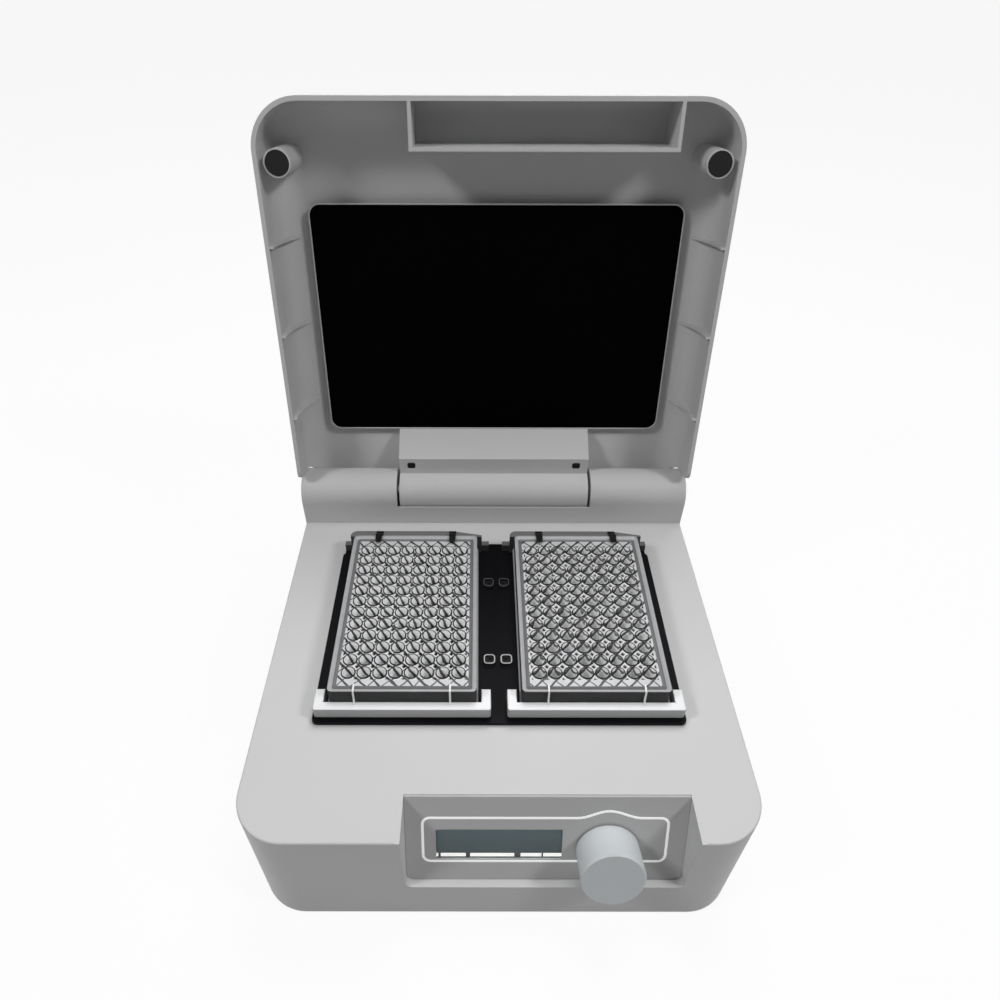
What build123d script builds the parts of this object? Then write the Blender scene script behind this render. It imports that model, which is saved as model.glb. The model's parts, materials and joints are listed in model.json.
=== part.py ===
from build123d import *
from math import atan2, cos, radians, sin, tan
import os

os.makedirs("parts", exist_ok=True)

# ---------------------------------------------------------------- driving dimensions, mm and degrees
# base
BASE_WIDTH = 275.0
DECK_DEPTH = 236.5          # front face to the foot of the hinge ridge
BODY_HEIGHT = 87.0          # lower rim of the housing to the deck
FOOT_HEIGHT = 3.0
CORNER_R = 28.0             # front corners of base and lid, in plan
REAR_CORNER_R = 12.0
WALL = 2.5
DECK_EDGE_R = 1.2
# hinge
HINGE_R = 16.0              # radius of the ridge
BARREL_R = 14.9             # radius of the lid's barrel, sunk in the ridge
HINGE_RISE = 18.5           # hinge axis above the deck
RECESS_HALF = 69.5          # half width of the recess in the ridge
RECESS_LIP = 15.4           # front lip of the recess above the deck
SIDE_GAP = 2.0              # barrel end to recess end
SHAFT_R = 4.0
BUSH_WALL = 2.0
BUSH_LENGTH = 12.0
RUNNING_FIT = 0.05          # radial clearance of a turning fit
BARREL_GAP = 0.8            # barrel to recess
HOOD_GAP = 0.8              # lid to ridge
LID_OPEN = 100.5            # opening angle from shut to the stop
# lid
LID_HEIGHT = 37.0
RIM_GAP = 0.8               # shut lid above the deck
LID_EDGE_R = 20.0           # rounding between the lid's sides and its top
LID_REAR_R = 7.0            # rounding of the side walls' rear lower corners
POCKET_WALL = 2.0
RIB_WALL = 1.2
RIB_REACH = 14.0            # gusset from the middle of the side wall, at the floor
RIM_RIB = 3.8               # the same at the rim
RIB_SAG = 3.0               # hollow of the gusset's free edge
RIB_PLACES = (40.0, 96.0, 150.0)     # from the rear lower corner
HEATER_INSET_X = 21.5       # from the base's sides, in plan
HEATER_LENGTH = 150.0
HEATER_R = 7.0
HEATER_START = 20.0         # from the rear lower corner to the heater's rear edge
HEATER_THICKNESS = 4.0
BUMPER_R = 6.8
BUMPER_INSET_X = 13.4
BUMPER_INSET_Y = 33.0
BUMPER_BOSS_R = 7.6
BUMPER_DEPTH = 3.0
BUMPER_PROUD = 0.5
# hinge arm: profile points in the lid's own frame, from the hinge axis
ARM_ROOT_ANGLE = 188.5      # where the arm's lower face leaves the barrel, lid shut
ARM_STEP = 11.5             # length of that face
ARM_SCREW_X = 59.0
ARM_SCREW_WIDTH = 5.7
ARM_SCREW_HEIGHT = 5.0
ARM_SCREW_DEPTH = 1.5
# control notch and panel
NOTCH_LEFT = -50.0
NOTCH_RIGHT = 101.0
NOTCH_DEPTH = 25.0          # at deck level
LEDGE_DROP = 52.5           # deck down to the ledge
LEDGE_DEPTH = 4.0
PANEL_THICKNESS = 1.2
NOTCH_CORNER_R = 4.0
LCD_LEFT = -33.5
LCD_RIGHT = 34.5
LCD_TOP_DROP = 20.2         # deck level down to the window's upper edge
LCD_HEIGHT = 20.0           # along the panel
KNOB_X = 58.8
KNOB_DROP = 32.3
KNOB_R = 17.0
KNOB_LENGTH = 20.0
KNOB_EDGE_R = 1.0
KNOB_GAP = 1.2              # back of the knob to the panel
KNOB_PRESS = 0.5
ENCODER_SHAFT_R = 3.0
ENCODER_BUSH_R = 4.5
ENCODER_SIDE = 14.0
ENCODER_DEPTH = 8.0
ENCODER_BUSH_REACH = 5.0    # bush in front of the knob's back
SHAFT_REACH = 15.0          # the same for the shaft
PLUNGER_LENGTH = 2.0
NUT_HEIGHT = 2.0
NUT_RIM = 2.0               # bush to the nut's corners
KNOB_SKIRT = 1.6
KNOB_FACE_WALL = 3.2
NUT_ROOM = 6.5              # depth of the room for the nut in the knob
# orbiting platform
ORBIT_R = 1.0               # radius of the orbit
PLATFORM_WIDTH = 212.0
PLATFORM_DEPTH = 135.5
PLATFORM_FRONT = 169.5      # ridge foot to the platform's front edge
PLATFORM_GAP = 0.8          # deck to the underside of the platform
SLAB_THICKNESS = 1.8
PAD_RISE = 3.0
PAD_WIDTH = 82.0
PLATFORM_CORNER_R = 3.0
TAB_WIDTH = 10.0
TAB_LENGTH = 9.0
STRIP_SCREWS = (64.6, 126.8)        # ridge foot to the screws between the plates
STRIP_SCREW_SPAN = 9.4
POST_R = 6.0
POST_SPAN_X = 150.0
POST_SPAN_Y = 84.0
POST_GAP = 1.6              # post to the rim of its hole at the orbit's end
CARRIER_THICKNESS = 6.0
CARRIER_DROP = 7.0          # deck underside to the carrier's top
CARRIER_WIDTH = 176.0
CARRIER_DEPTH = 110.0
MAT_THICKNESS = 0.5
MAT_WIDTH = 50.0
MAT_LENGTH = 112.0
# microplates, standard footprint
PLATE_WIDTH = 85.48
PLATE_LENGTH = 127.76
PLATE_HEIGHT = 14.35
PLATE_FLANGE = 2.5
PLATE_STEP = 0.9            # side of the body inside the flange
PLATE_SPACING = 109.2       # centre to centre
PLATE_FRONT = 161.4         # ridge foot to the plates' front edge
WELL_PITCH = 9.0
WELL_R = 3.4
WELL_DEPTH = 10.7
WELL_ROWS = 8
WELL_COLUMNS = 12
PLATE_NOTCH = 4.0
# clamp rails
RAIL_WIDTH = 100.0
RAIL_BAR = 5.4
RAIL_ARM = 5.5
RAIL_REACH = 14.0           # front face to the ends of the arms
RAIL_HEIGHT = 9.0
RAIL_CHAMFER = 1.6
RAIL_EDGE_R = 0.8
RAIL_LIFT = 0.1             # rail above the slab
RAIL_TRAVEL = 6.0
ROD_R = 0.8
ROD_RISE = 1.0              # rod axis above the slab
ROD_SPAN = 60.0             # between the two rods of a rail
ROD_GUIDE = 6.0             # length of pad that guides a rod
SPRING_LENGTH = 16.0
SPRING_R = 1.4
SPRING_WIRE_GAP = 0.15      # spring to its rod
ROD_HEAD = 2.0
CHANNEL_WIDTH = 3.4
CHANNEL_ROOF = 0.5
# rear stops
STOP_DEPTH = 5.5
STOP_HEIGHT = 15.2
STOP_WIDTH = 90.0
STOP_CORNER_R = 4.5         # rear corner at the left end
STOP_BEVEL = (20.0, 4.0)    # bevel of the rear corner at the right end, along and across the bar
STOP_FOOT_WIDTH = 100.0
STOP_FOOT_DEPTH = 4.0
STOP_FOOT_HEIGHT = 5.5
SEAT_GAP = 0.3              # between a seated piece and its neighbour
# drive
CHASSIS_THICKNESS = 4.0
CHASSIS_DROP = 24.0         # carrier underside to the chassis plate's top
CHASSIS_WIDTH = 190.0
CHASSIS_DEPTH = 124.0
PILLAR_R = 5.0
PILLAR_SPAN_X = 172.0
PILLAR_SPAN_Y = 106.0
CRANK_R = 5.0
PIN_R = 4.0
BEARING_WALL = 4.0
BEARING_HEIGHT = 4.0
MOTOR_R = 26.0
MOTOR_HEIGHT = 24.0
WEIGHT_R = 26.0
MOTOR_SCREW_R = 18.0        # bolt circle of the motor
WEIGHT_HEIGHT = 8.0
IDLER_R = 3.0
IDLER_DISC_R = 8.0
IDLER_DISC_HEIGHT = 8.0
IDLER_SPREAD = 62.0         # idlers from the crank, in X
IDLER_PITCH_Y = 40.0
# rear services
INLET_INSET_X = 49.5        # side of the base to the inlet's centre
INLET_WIDTH = 24.6
INLET_HEIGHT = 17.0
INLET_DEPTH = 17.0
INLET_WALL = 1.8
INLET_FLANGE_WIDTH = 50.0
INLET_FLANGE_HEIGHT = 24.0
INLET_FLANGE = 2.5
INLET_SCREW_SPAN = 40.0
PIN_PITCH = 7.0             # the inlet's contact pins
PIN_WIDTH = 2.0
PIN_HEIGHT = 4.0
SERVICE_Z = 32.0            # centre of inlet and switch above the floor
SWITCH_INSET_X = 93.5       # the same for the switch
SWITCH_WIDTH = 15.0
SWITCH_HEIGHT = 21.0
SWITCH_BEZEL = 2.0
SWITCH_DEPTH = 16.0
ROCKER_TILT = 11.0          # each side of level
ROCKER_WIDTH = 10.4
ROCKER_HALF = 7.6           # pivot to the ends of the rocker
ROCKER_FACE = 4.0           # pivot to the rocker's face
ROCKER_DISH = 1.0           # hollow of the face
ROCKER_BACK = 2.0
PIVOT_R = 1.0
PIVOT_DEPTH = 1.0           # rear face to the pivot
# board
BOARD_WIDTH = 120.0
BOARD_DEPTH = 50.0
BOARD_THICKNESS = 1.6
BOARD_STANDOFF = 6.0
# fasteners
SCREW_R = 1.5
SCREW_HEAD_R = 3.0
SCREW_HEAD = 2.0
BOSS_R = 5.0
FOOT_R = 9.0
FOOT_INSET = 30.0
FOOT_DRAFT = 6.0            # the feet widen upwards
VENT_WIDTH = 2.6
VENT_LENGTH = 22.0
VENT_PITCH = 6.0
VENT_COUNT = 9

# ---------------------------------------------------------------- places worked out from them
DECK_Z = FOOT_HEIGHT + BODY_HEIGHT
PANEL_LEAN = atan2(NOTCH_DEPTH - LEDGE_DEPTH, LEDGE_DROP)      # panel from the vertical
open_angle = radians(LID_OPEN)

# reach of the whole object in front of and behind the ridge's foot, so the origin is central
knob_front = (DECK_DEPTH - NOTCH_DEPTH + KNOB_DROP * (NOTCH_DEPTH - LEDGE_DEPTH) / LEDGE_DROP
              + (KNOB_GAP + KNOB_LENGTH - KNOB_EDGE_R) * cos(PANEL_LEAN)
              + (KNOB_R - KNOB_EDGE_R) * sin(PANEL_LEAN) + KNOB_EDGE_R)
lid_round_y = -DECK_DEPTH + LID_EDGE_R - HINGE_R
lid_round_z = RIM_GAP + LID_HEIGHT - LID_EDGE_R - HINGE_RISE
lid_back = HINGE_R + lid_round_y * cos(open_angle) + lid_round_z * sin(open_angle) + LID_EDGE_R
RIDGE_Y = (knob_front - lid_back) / 2                        # foot of the hinge ridge
FRONT_Y = RIDGE_Y - DECK_DEPTH
HINGE_Y = RIDGE_Y + HINGE_R
REAR_Y = RIDGE_Y + 2 * HINGE_R
HINGE_Z = DECK_Z + HINGE_RISE
LID_RIM = DECK_Z + RIM_GAP - HINGE_Z                         # shut rim, from the hinge axis
LID_TOP = LID_RIM + LID_HEIGHT
LID_FRONT = FRONT_Y - HINGE_Y
LID_BACK = RIDGE_Y - HOOD_GAP - HINGE_Y                     # rear ends of the side walls, lid shut
PLATE_Y = RIDGE_Y - PLATE_FRONT + PLATE_LENGTH / 2
PLATE_X = (ORBIT_R - PLATE_SPACING / 2, ORBIT_R + PLATE_SPACING / 2)
PLATFORM_X = ORBIT_R                                         # the crank stands at its right dead point
SLAB_Z = DECK_Z + PLATFORM_GAP
SLAB_TOP = SLAB_Z + SLAB_THICKNESS
SEAT_Z = SLAB_TOP + PAD_RISE
PLATFORM_Y = RIDGE_Y - PLATFORM_FRONT + PLATFORM_DEPTH / 2
DECK_UNDER = DECK_Z - WALL
CARRIER_TOP = DECK_UNDER - CARRIER_DROP
CARRIER_Z = CARRIER_TOP - CARRIER_THICKNESS
CHASSIS_TOP = CARRIER_Z - CHASSIS_DROP
CHASSIS_Z = CHASSIS_TOP - CHASSIS_THICKNESS
FLOOR_Z = FOOT_HEIGHT + WALL                                 # top of the base plate
INSIDE_FRONT = FRONT_Y + WALL
INSIDE_REAR = REAR_Y - WALL
LEDGE_Z = DECK_Z - LEDGE_DROP
CABINET_Y = (FRONT_Y + REAR_Y) / 2
INLET_X = BASE_WIDTH / 2 - INLET_INSET_X
SWITCH_X = BASE_WIDTH / 2 - SWITCH_INSET_X

# local planes: the control panel, and the lid as it stands open
panel_plane = Plane(
    origin=(0, FRONT_Y + NOTCH_DEPTH, DECK_Z),
    x_dir=(1, 0, 0),
    z_dir=(0, -cos(PANEL_LEAN), sin(PANEL_LEAN)),
)
lid_plane = Plane(
    origin=(0, HINGE_Y, HINGE_Z),
    x_dir=(1, 0, 0),
    z_dir=(0, sin(open_angle), cos(open_angle)),
)
knob_plane = Plane(
    origin=panel_plane.from_local_coords((KNOB_X, -KNOB_DROP / cos(PANEL_LEAN), 0)),
    x_dir=panel_plane.x_dir,
    z_dir=panel_plane.z_dir,
)


def lid_side(x):
    """Plane across the lid at x: its first axis runs back, its second up, with the lid shut."""
    return Plane(
        origin=lid_plane.from_local_coords((x, 0, 0)),
        x_dir=lid_plane.y_dir,
        z_dir=(1, 0, 0),
    )


def body_plan(plane, inset=0.0):
    """Plan of the base, `inset` inside its faces: wide corners in front, tight ones behind."""
    with BuildSketch(plane) as plan:
        with Locations((0, CABINET_Y)):
            Rectangle(BASE_WIDTH - 2 * inset, REAR_Y - FRONT_Y - 2 * inset)
        fillet(plan.vertices().group_by(Axis.Y)[0], CORNER_R - inset)
        fillet(plan.vertices().group_by(Axis.Y)[-1], REAR_CORNER_R - inset)
    return plan.sketch


def ridge_profile(plane, inset, foot_z):
    """Side view of the hinge ridge, `inset` inside its faces, reaching down to foot_z."""
    with BuildSketch(plane) as profile:
        with Locations((HINGE_Y, HINGE_Z)):
            Circle(HINGE_R - inset)
        with Locations((HINGE_Y, (foot_z + HINGE_Z) / 2)):
            Rectangle(2 * (HINGE_R - inset), HINGE_Z - foot_z)
    return profile.sketch


def notch_profile(set_back):
    """Side view of the control notch, its sloping face set back behind the panel's face."""
    back = set_back / cos(PANEL_LEAN)
    outside = FRONT_Y - CORNER_R
    with BuildSketch(Plane.YZ.offset(NOTCH_LEFT)) as profile:
        with BuildLine():
            Polyline(
                (outside, LEDGE_Z),
                (FRONT_Y + LEDGE_DEPTH + back, LEDGE_Z),
                (FRONT_Y + NOTCH_DEPTH + back, DECK_Z),
                (FRONT_Y + NOTCH_DEPTH + back, DECK_Z + WALL),
                (outside, DECK_Z + WALL),
                close=True,
            )
        make_face()
    return profile.sketch


# ---------------------------------------------------------------- base housing
with BuildPart() as ridge:
    extrude(ridge_profile(Plane.YZ, 0, DECK_Z - WALL), amount=BASE_WIDTH / 2, both=True)
    extrude(
        body_plan(Plane.XY.offset(DECK_Z - WALL)),
        amount=WALL + HINGE_RISE + HINGE_R,
        mode=Mode.INTERSECT,
    )

with BuildPart() as notch_pan:
    extrude(
        offset(notch_profile(PANEL_THICKNESS), WALL, kind=Kind.INTERSECTION),
        amount=NOTCH_RIGHT - NOTCH_LEFT + WALL,
    )
    extrude(
        offset(notch_profile(PANEL_THICKNESS), WALL, kind=Kind.INTERSECTION),
        amount=-WALL,
    )
    extrude(body_plan(Plane.XY.offset(FOOT_HEIGHT)), amount=BODY_HEIGHT, mode=Mode.INTERSECT)

with BuildPart() as notch:
    extrude(notch_profile(PANEL_THICKNESS), amount=NOTCH_RIGHT - NOTCH_LEFT)
    fillet(notch.edges().filter_by(Axis.Y).group_by(Axis.Z)[0], NOTCH_CORNER_R)

boss_x = BASE_WIDTH / 2 - WALL - BOSS_R - SCREW_HEAD_R
boss_places = [
    (side * boss_x, y)
    for side in (-1, 1)
    for y in (INSIDE_FRONT + CORNER_R, CABINET_Y, INSIDE_REAR - REAR_CORNER_R)
]

with BuildPart() as base_housing:
    extrude(body_plan(Plane.XY.offset(FOOT_HEIGHT)), amount=BODY_HEIGHT)
    fillet(base_housing.faces().sort_by(Axis.Z)[-1].edges(), DECK_EDGE_R)
    add(ridge.part)
    extrude(
        body_plan(Plane.XY.offset(FOOT_HEIGHT), WALL),
        amount=BODY_HEIGHT - WALL,
        mode=Mode.SUBTRACT,
    )
    ridge_hollow = BASE_WIDTH / 2 - RECESS_HALF - 2 * BUSH_LENGTH - WALL - REAR_CORNER_R / 2
    for side in (-1, 1):
        outer_end = side * (BASE_WIDTH / 2 - REAR_CORNER_R / 2)
        extrude(
            ridge_profile(Plane.YZ.offset(outer_end), WALL, DECK_UNDER),
            amount=-side * ridge_hollow,
            mode=Mode.SUBTRACT,
        )
    # recess for the lid's barrel: a round trough, open above and in front of its lip
    with BuildSketch(Plane.YZ) as trough:
        with Locations((HINGE_Y, HINGE_Z)):
            Circle(BARREL_R + BARREL_GAP)
        with Locations((HINGE_Y, HINGE_Z + HINGE_R)):
            Rectangle(4 * HINGE_R, 2 * HINGE_R)
        with Locations((RIDGE_Y, DECK_Z + RECESS_LIP + HINGE_R)):
            Rectangle(HINGE_R, 2 * HINGE_R)
    extrude(trough.sketch, amount=RECESS_HALF, both=True, mode=Mode.SUBTRACT)
    with BuildSketch(Plane.YZ) as shaft_bore:
        with Locations((HINGE_Y, HINGE_Z)):
            Circle(SHAFT_R + RUNNING_FIT)
    extrude(shaft_bore.sketch, amount=RECESS_HALF + BUSH_LENGTH, both=True, mode=Mode.SUBTRACT)
    add(notch_pan.part)
    add(notch.part, mode=Mode.SUBTRACT)
    # openings in the sloping wall behind the panel, for the display and the encoder
    with BuildSketch(panel_plane) as panel_openings:
        with Locations(((LCD_LEFT + LCD_RIGHT) / 2, -LCD_TOP_DROP / cos(PANEL_LEAN) - LCD_HEIGHT / 2)):
            Rectangle(LCD_RIGHT - LCD_LEFT, LCD_HEIGHT)
        with Locations((KNOB_X, -KNOB_DROP / cos(PANEL_LEAN))):
            Circle(ENCODER_BUSH_R + RUNNING_FIT)
    extrude(panel_openings.sketch, amount=-2 * (WALL + PANEL_THICKNESS), mode=Mode.SUBTRACT)
    # clearance holes in the deck for the platform's posts
    with BuildSketch(Plane.XY.offset(DECK_UNDER)) as post_holes:
        with Locations((0, PLATE_Y)):
            with GridLocations(POST_SPAN_X, POST_SPAN_Y, 2, 2):
                Circle(POST_R + ORBIT_R + POST_GAP)
    extrude(post_holes.sketch, amount=WALL, mode=Mode.SUBTRACT)
    # rear openings for the inlet and the switch
    with BuildSketch(Plane.XZ.offset(-REAR_Y)) as rear_openings:
        with Locations((INLET_X, SERVICE_Z)):
            Rectangle(
                INLET_WIDTH + 2 * INLET_WALL + SEAT_GAP,
                INLET_HEIGHT + 2 * INLET_WALL + SEAT_GAP,
            )
        with Locations((SWITCH_X, SERVICE_Z)):
            Rectangle(SWITCH_WIDTH + SEAT_GAP, SWITCH_HEIGHT + SEAT_GAP)
        with Locations((INLET_X, SERVICE_Z)):
            with GridLocations(INLET_SCREW_SPAN, INLET_SCREW_SPAN, 2, 1):
                Circle(SCREW_R)
        with Locations((-SWITCH_X, SERVICE_Z + INLET_HEIGHT)):
            with GridLocations(VENT_PITCH, VENT_LENGTH, VENT_COUNT, 1):
                SlotOverall(VENT_LENGTH, VENT_WIDTH, rotation=90)
    extrude(rear_openings.sketch, amount=WALL, mode=Mode.SUBTRACT)
    # screw bosses under the deck
    with BuildSketch(Plane.XY.offset(FLOOR_Z)) as bosses:
        with Locations(*boss_places):
            Circle(BOSS_R)
            Circle(SCREW_R, mode=Mode.SUBTRACT)
    extrude(bosses.sketch, amount=DECK_UNDER - FLOOR_Z)
base_housing.part.label = "base_housing"
export_step(base_housing.part, "parts/base_housing.step")

# ---------------------------------------------------------------- base plate, feet, screws
foot_places = [
    (x_side * (BASE_WIDTH / 2 - FOOT_INSET), y)
    for x_side in (-1, 1)
    for y in (FRONT_Y + FOOT_INSET, REAR_Y - FOOT_INSET)
]
board_y = FRONT_Y + NOTCH_DEPTH + BOARD_DEPTH / 2 + FOOT_INSET

with BuildPart() as base_plate:
    extrude(body_plan(Plane.XY.offset(FOOT_HEIGHT), WALL + SEAT_GAP), amount=WALL)
    with Locations(*[(x, y, FOOT_HEIGHT) for x, y in boss_places]):
        Cylinder(SCREW_R + SEAT_GAP, 2 * WALL, mode=Mode.SUBTRACT)
    with BuildSketch(Plane.XY.offset(FOOT_HEIGHT)) as plate_vents:
        with Locations((0, PLATE_Y)):
            with GridLocations(VENT_PITCH, 3 * VENT_LENGTH, VENT_COUNT, 2):
                Rectangle(VENT_WIDTH, VENT_LENGTH)
    extrude(plate_vents.sketch, amount=WALL, mode=Mode.SUBTRACT)
base_plate.part.label = "base_plate"
export_step(base_plate.part, "parts/base_plate.step")

with BuildPart() as rubber_feet:
    for x, y in foot_places:
        with BuildSketch(Plane.XY) as sole:
            with Locations((x, y)):
                Circle(FOOT_R)
        extrude(sole.sketch, amount=FOOT_HEIGHT, taper=-FOOT_DRAFT)
rubber_feet.part.label = "rubber_feet"
export_step(rubber_feet.part, "parts/rubber_feet.step")

with BuildPart() as base_screws:
    for x, y in boss_places:
        with Locations((x, y, FOOT_HEIGHT - SCREW_HEAD / 2)):
            Cylinder(SCREW_HEAD_R, SCREW_HEAD)
        with Locations((x, y, FOOT_HEIGHT + SCREW_HEAD_R)):
            Cylinder(SCREW_R - RUNNING_FIT, 2 * SCREW_HEAD_R)
base_screws.part.label = "base_screws"
export_step(base_screws.part, "parts/base_screws.step")

# ---------------------------------------------------------------- control panel and display
panel_slope = LEDGE_DROP / cos(PANEL_LEAN) - PANEL_THICKNESS * tan(PANEL_LEAN)
lcd_v = -LCD_TOP_DROP / cos(PANEL_LEAN) - LCD_HEIGHT / 2
lcd_u = (LCD_LEFT + LCD_RIGHT) / 2

with BuildPart() as control_panel:
    with BuildSketch(panel_plane) as fascia:
        with Locations(((NOTCH_LEFT + NOTCH_RIGHT) / 2, -panel_slope / 2)):
            Rectangle(NOTCH_RIGHT - NOTCH_LEFT - SEAT_GAP, panel_slope - SEAT_GAP)
        fillet(fascia.vertices().group_by(Axis.Y)[0], NOTCH_CORNER_R / cos(PANEL_LEAN))
        with Locations((lcd_u, lcd_v)):
            Rectangle(LCD_RIGHT - LCD_LEFT, LCD_HEIGHT, mode=Mode.SUBTRACT)
        with Locations((KNOB_X, -KNOB_DROP / cos(PANEL_LEAN))):
            Circle(ENCODER_BUSH_R + RUNNING_FIT, mode=Mode.SUBTRACT)
    extrude(fascia.sketch, amount=-PANEL_THICKNESS)
control_panel.part.label = "control_panel"
export_step(control_panel.part, "parts/control_panel.step")

window_plane = panel_plane.offset(-PANEL_THICKNESS)
with BuildPart() as display_window:
    with BuildSketch(window_plane) as window:
        with Locations((lcd_u, lcd_v)):
            Rectangle(LCD_RIGHT - LCD_LEFT - SEAT_GAP, LCD_HEIGHT - SEAT_GAP)
    extrude(window.sketch, amount=PANEL_THICKNESS / 2)
display_window.part.label = "display_window"
export_step(display_window.part, "parts/display_window.step")

with BuildPart() as display_module:
    with BuildSketch(window_plane) as glass:
        with Locations((lcd_u, lcd_v)):
            Rectangle(LCD_RIGHT - LCD_LEFT - SEAT_GAP, LCD_HEIGHT - SEAT_GAP)
    extrude(glass.sketch, amount=-WALL)
    with BuildSketch(window_plane.offset(-WALL)) as module_board:
        with Locations((lcd_u, lcd_v)):
            Rectangle(LCD_RIGHT - LCD_LEFT + 2 * WALL, LCD_HEIGHT + 2 * WALL)
    extrude(module_board.sketch, amount=-BOARD_THICKNESS)
display_module.part.label = "display_module"
export_step(display_module.part, "parts/display_module.step")

# ---------------------------------------------------------------- control knob and its encoder
wall_back = PANEL_THICKNESS + WALL                           # panel face to the back of the wall

with BuildPart() as encoder_body:
    with BuildSketch(knob_plane.offset(-wall_back)) as encoder_case:
        Rectangle(ENCODER_SIDE, ENCODER_SIDE)
        Circle(ENCODER_SHAFT_R + RUNNING_FIT, mode=Mode.SUBTRACT)
    extrude(encoder_case.sketch, amount=-ENCODER_DEPTH)
    with BuildSketch(knob_plane.offset(-wall_back)) as encoder_bush:
        Circle(ENCODER_BUSH_R)
        Circle(ENCODER_SHAFT_R + RUNNING_FIT, mode=Mode.SUBTRACT)
    extrude(encoder_bush.sketch, amount=wall_back + KNOB_GAP + ENCODER_BUSH_REACH)
encoder_body.part.label = "encoder_body"
export_step(encoder_body.part, "parts/encoder_body.step")

with BuildPart() as encoder_nut:
    with BuildSketch(knob_plane) as nut:
        RegularPolygon(ENCODER_BUSH_R + NUT_RIM, 6)
        Circle(ENCODER_BUSH_R + RUNNING_FIT, mode=Mode.SUBTRACT)
    extrude(nut.sketch, amount=NUT_HEIGHT)
encoder_nut.part.label = "encoder_nut"
export_step(encoder_nut.part, "parts/encoder_nut.step")

# the plunger stands behind the shaft and closes the push switch
shaft_back = -wall_back - ENCODER_DEPTH + PLUNGER_LENGTH + SEAT_GAP
shaft_front = KNOB_GAP + SHAFT_REACH
with BuildPart() as encoder_plunger:
    with BuildSketch(knob_plane.offset(shaft_back - SEAT_GAP)) as plunger:
        Circle(ENCODER_SHAFT_R)
    extrude(plunger.sketch, amount=-PLUNGER_LENGTH + KNOB_PRESS / 2)
encoder_plunger.part.label = "encoder_plunger"
export_step(encoder_plunger.part, "parts/encoder_plunger.step")

with BuildPart() as encoder_shaft:
    with BuildSketch(knob_plane.offset(shaft_back)) as shaft:
        Circle(ENCODER_SHAFT_R)
    extrude(shaft.sketch, amount=shaft_front - shaft_back)
encoder_shaft.part.label = "encoder_shaft"
export_step(encoder_shaft.part, "parts/encoder_shaft.step")

# the knob is a turned cap with a hub on the shaft and room for the nut
with BuildPart() as control_knob:
    with BuildSketch(knob_plane.offset(KNOB_GAP)) as knob_disc:
        Circle(KNOB_R)
    extrude(knob_disc.sketch, amount=KNOB_LENGTH)
    chamfer(control_knob.edges().filter_by(GeomType.CIRCLE).sort_by(Axis.Y)[0], KNOB_EDGE_R)
    with BuildSketch(knob_plane.offset(KNOB_GAP)) as knob_hollow:
        Circle(KNOB_R - KNOB_SKIRT)
        Circle(ENCODER_SHAFT_R + 2 * KNOB_SKIRT, mode=Mode.SUBTRACT)
    extrude(knob_hollow.sketch, amount=KNOB_LENGTH - KNOB_FACE_WALL, mode=Mode.SUBTRACT)
    with BuildSketch(knob_plane.offset(KNOB_GAP)) as nut_room:
        Circle(ENCODER_BUSH_R + NUT_RIM + KNOB_SKIRT)
    extrude(nut_room.sketch, amount=NUT_ROOM, mode=Mode.SUBTRACT)
    with BuildSketch(knob_plane.offset(KNOB_GAP)) as knob_bore:
        Circle(ENCODER_SHAFT_R)
    extrude(knob_bore.sketch, amount=shaft_front - KNOB_GAP, mode=Mode.SUBTRACT)
control_knob.part.label = "control_knob"
export_step(control_knob.part, "parts/control_knob.step")

# ---------------------------------------------------------------- orbiting carrier and platform
with BuildPart() as orbit_carrier:
    with BuildSketch(Plane.XY.offset(CARRIER_Z)) as carrier_plan:
        with Locations((PLATFORM_X, PLATE_Y)):
            RectangleRounded(CARRIER_WIDTH, CARRIER_DEPTH, POST_R + PLATFORM_CORNER_R)
    extrude(carrier_plan.sketch, amount=CARRIER_THICKNESS)
    with BuildSketch(Plane.XY.offset(CARRIER_TOP)) as posts:
        with Locations((PLATFORM_X, PLATE_Y)):
            with GridLocations(POST_SPAN_X, POST_SPAN_Y, 2, 2):
                Circle(POST_R)
    extrude(posts.sketch, amount=SLAB_Z - CARRIER_TOP)
    # seats for the crank's bearing and the idlers' bearings
    idler_places = [
        (-IDLER_SPREAD, -IDLER_PITCH_Y),
        (IDLER_SPREAD, -IDLER_PITCH_Y),
        (0, IDLER_PITCH_Y),
    ]
    with BuildSketch(Plane.XY.offset(CARRIER_Z)) as bearing_seats:
        with Locations((PLATFORM_X, PLATE_Y)):
            Circle(PIN_R + BEARING_WALL)
            with Locations(*idler_places):
                Circle(IDLER_R + BEARING_WALL)
    extrude(bearing_seats.sketch, amount=BEARING_HEIGHT, mode=Mode.SUBTRACT)
orbit_carrier.part.label = "orbit_carrier"
export_step(orbit_carrier.part, "parts/orbit_carrier.step")

rod_z = SLAB_TOP + ROD_RISE
pad_front = RIDGE_Y - PLATE_FRONT + RAIL_LIFT
channel_length = SPRING_LENGTH + ROD_HEAD + SEAT_GAP
rod_places = [x + side * ROD_SPAN / 2 for x in PLATE_X for side in (-1, 1)]
rail_back = RIDGE_Y - PLATE_FRONT
stop_front = rail_back + PLATE_LENGTH + SEAT_GAP
screw_places = [
    (PLATFORM_X + side * STRIP_SCREW_SPAN / 2, RIDGE_Y - setback)
    for side in (-1, 1)
    for setback in STRIP_SCREWS
]

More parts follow.
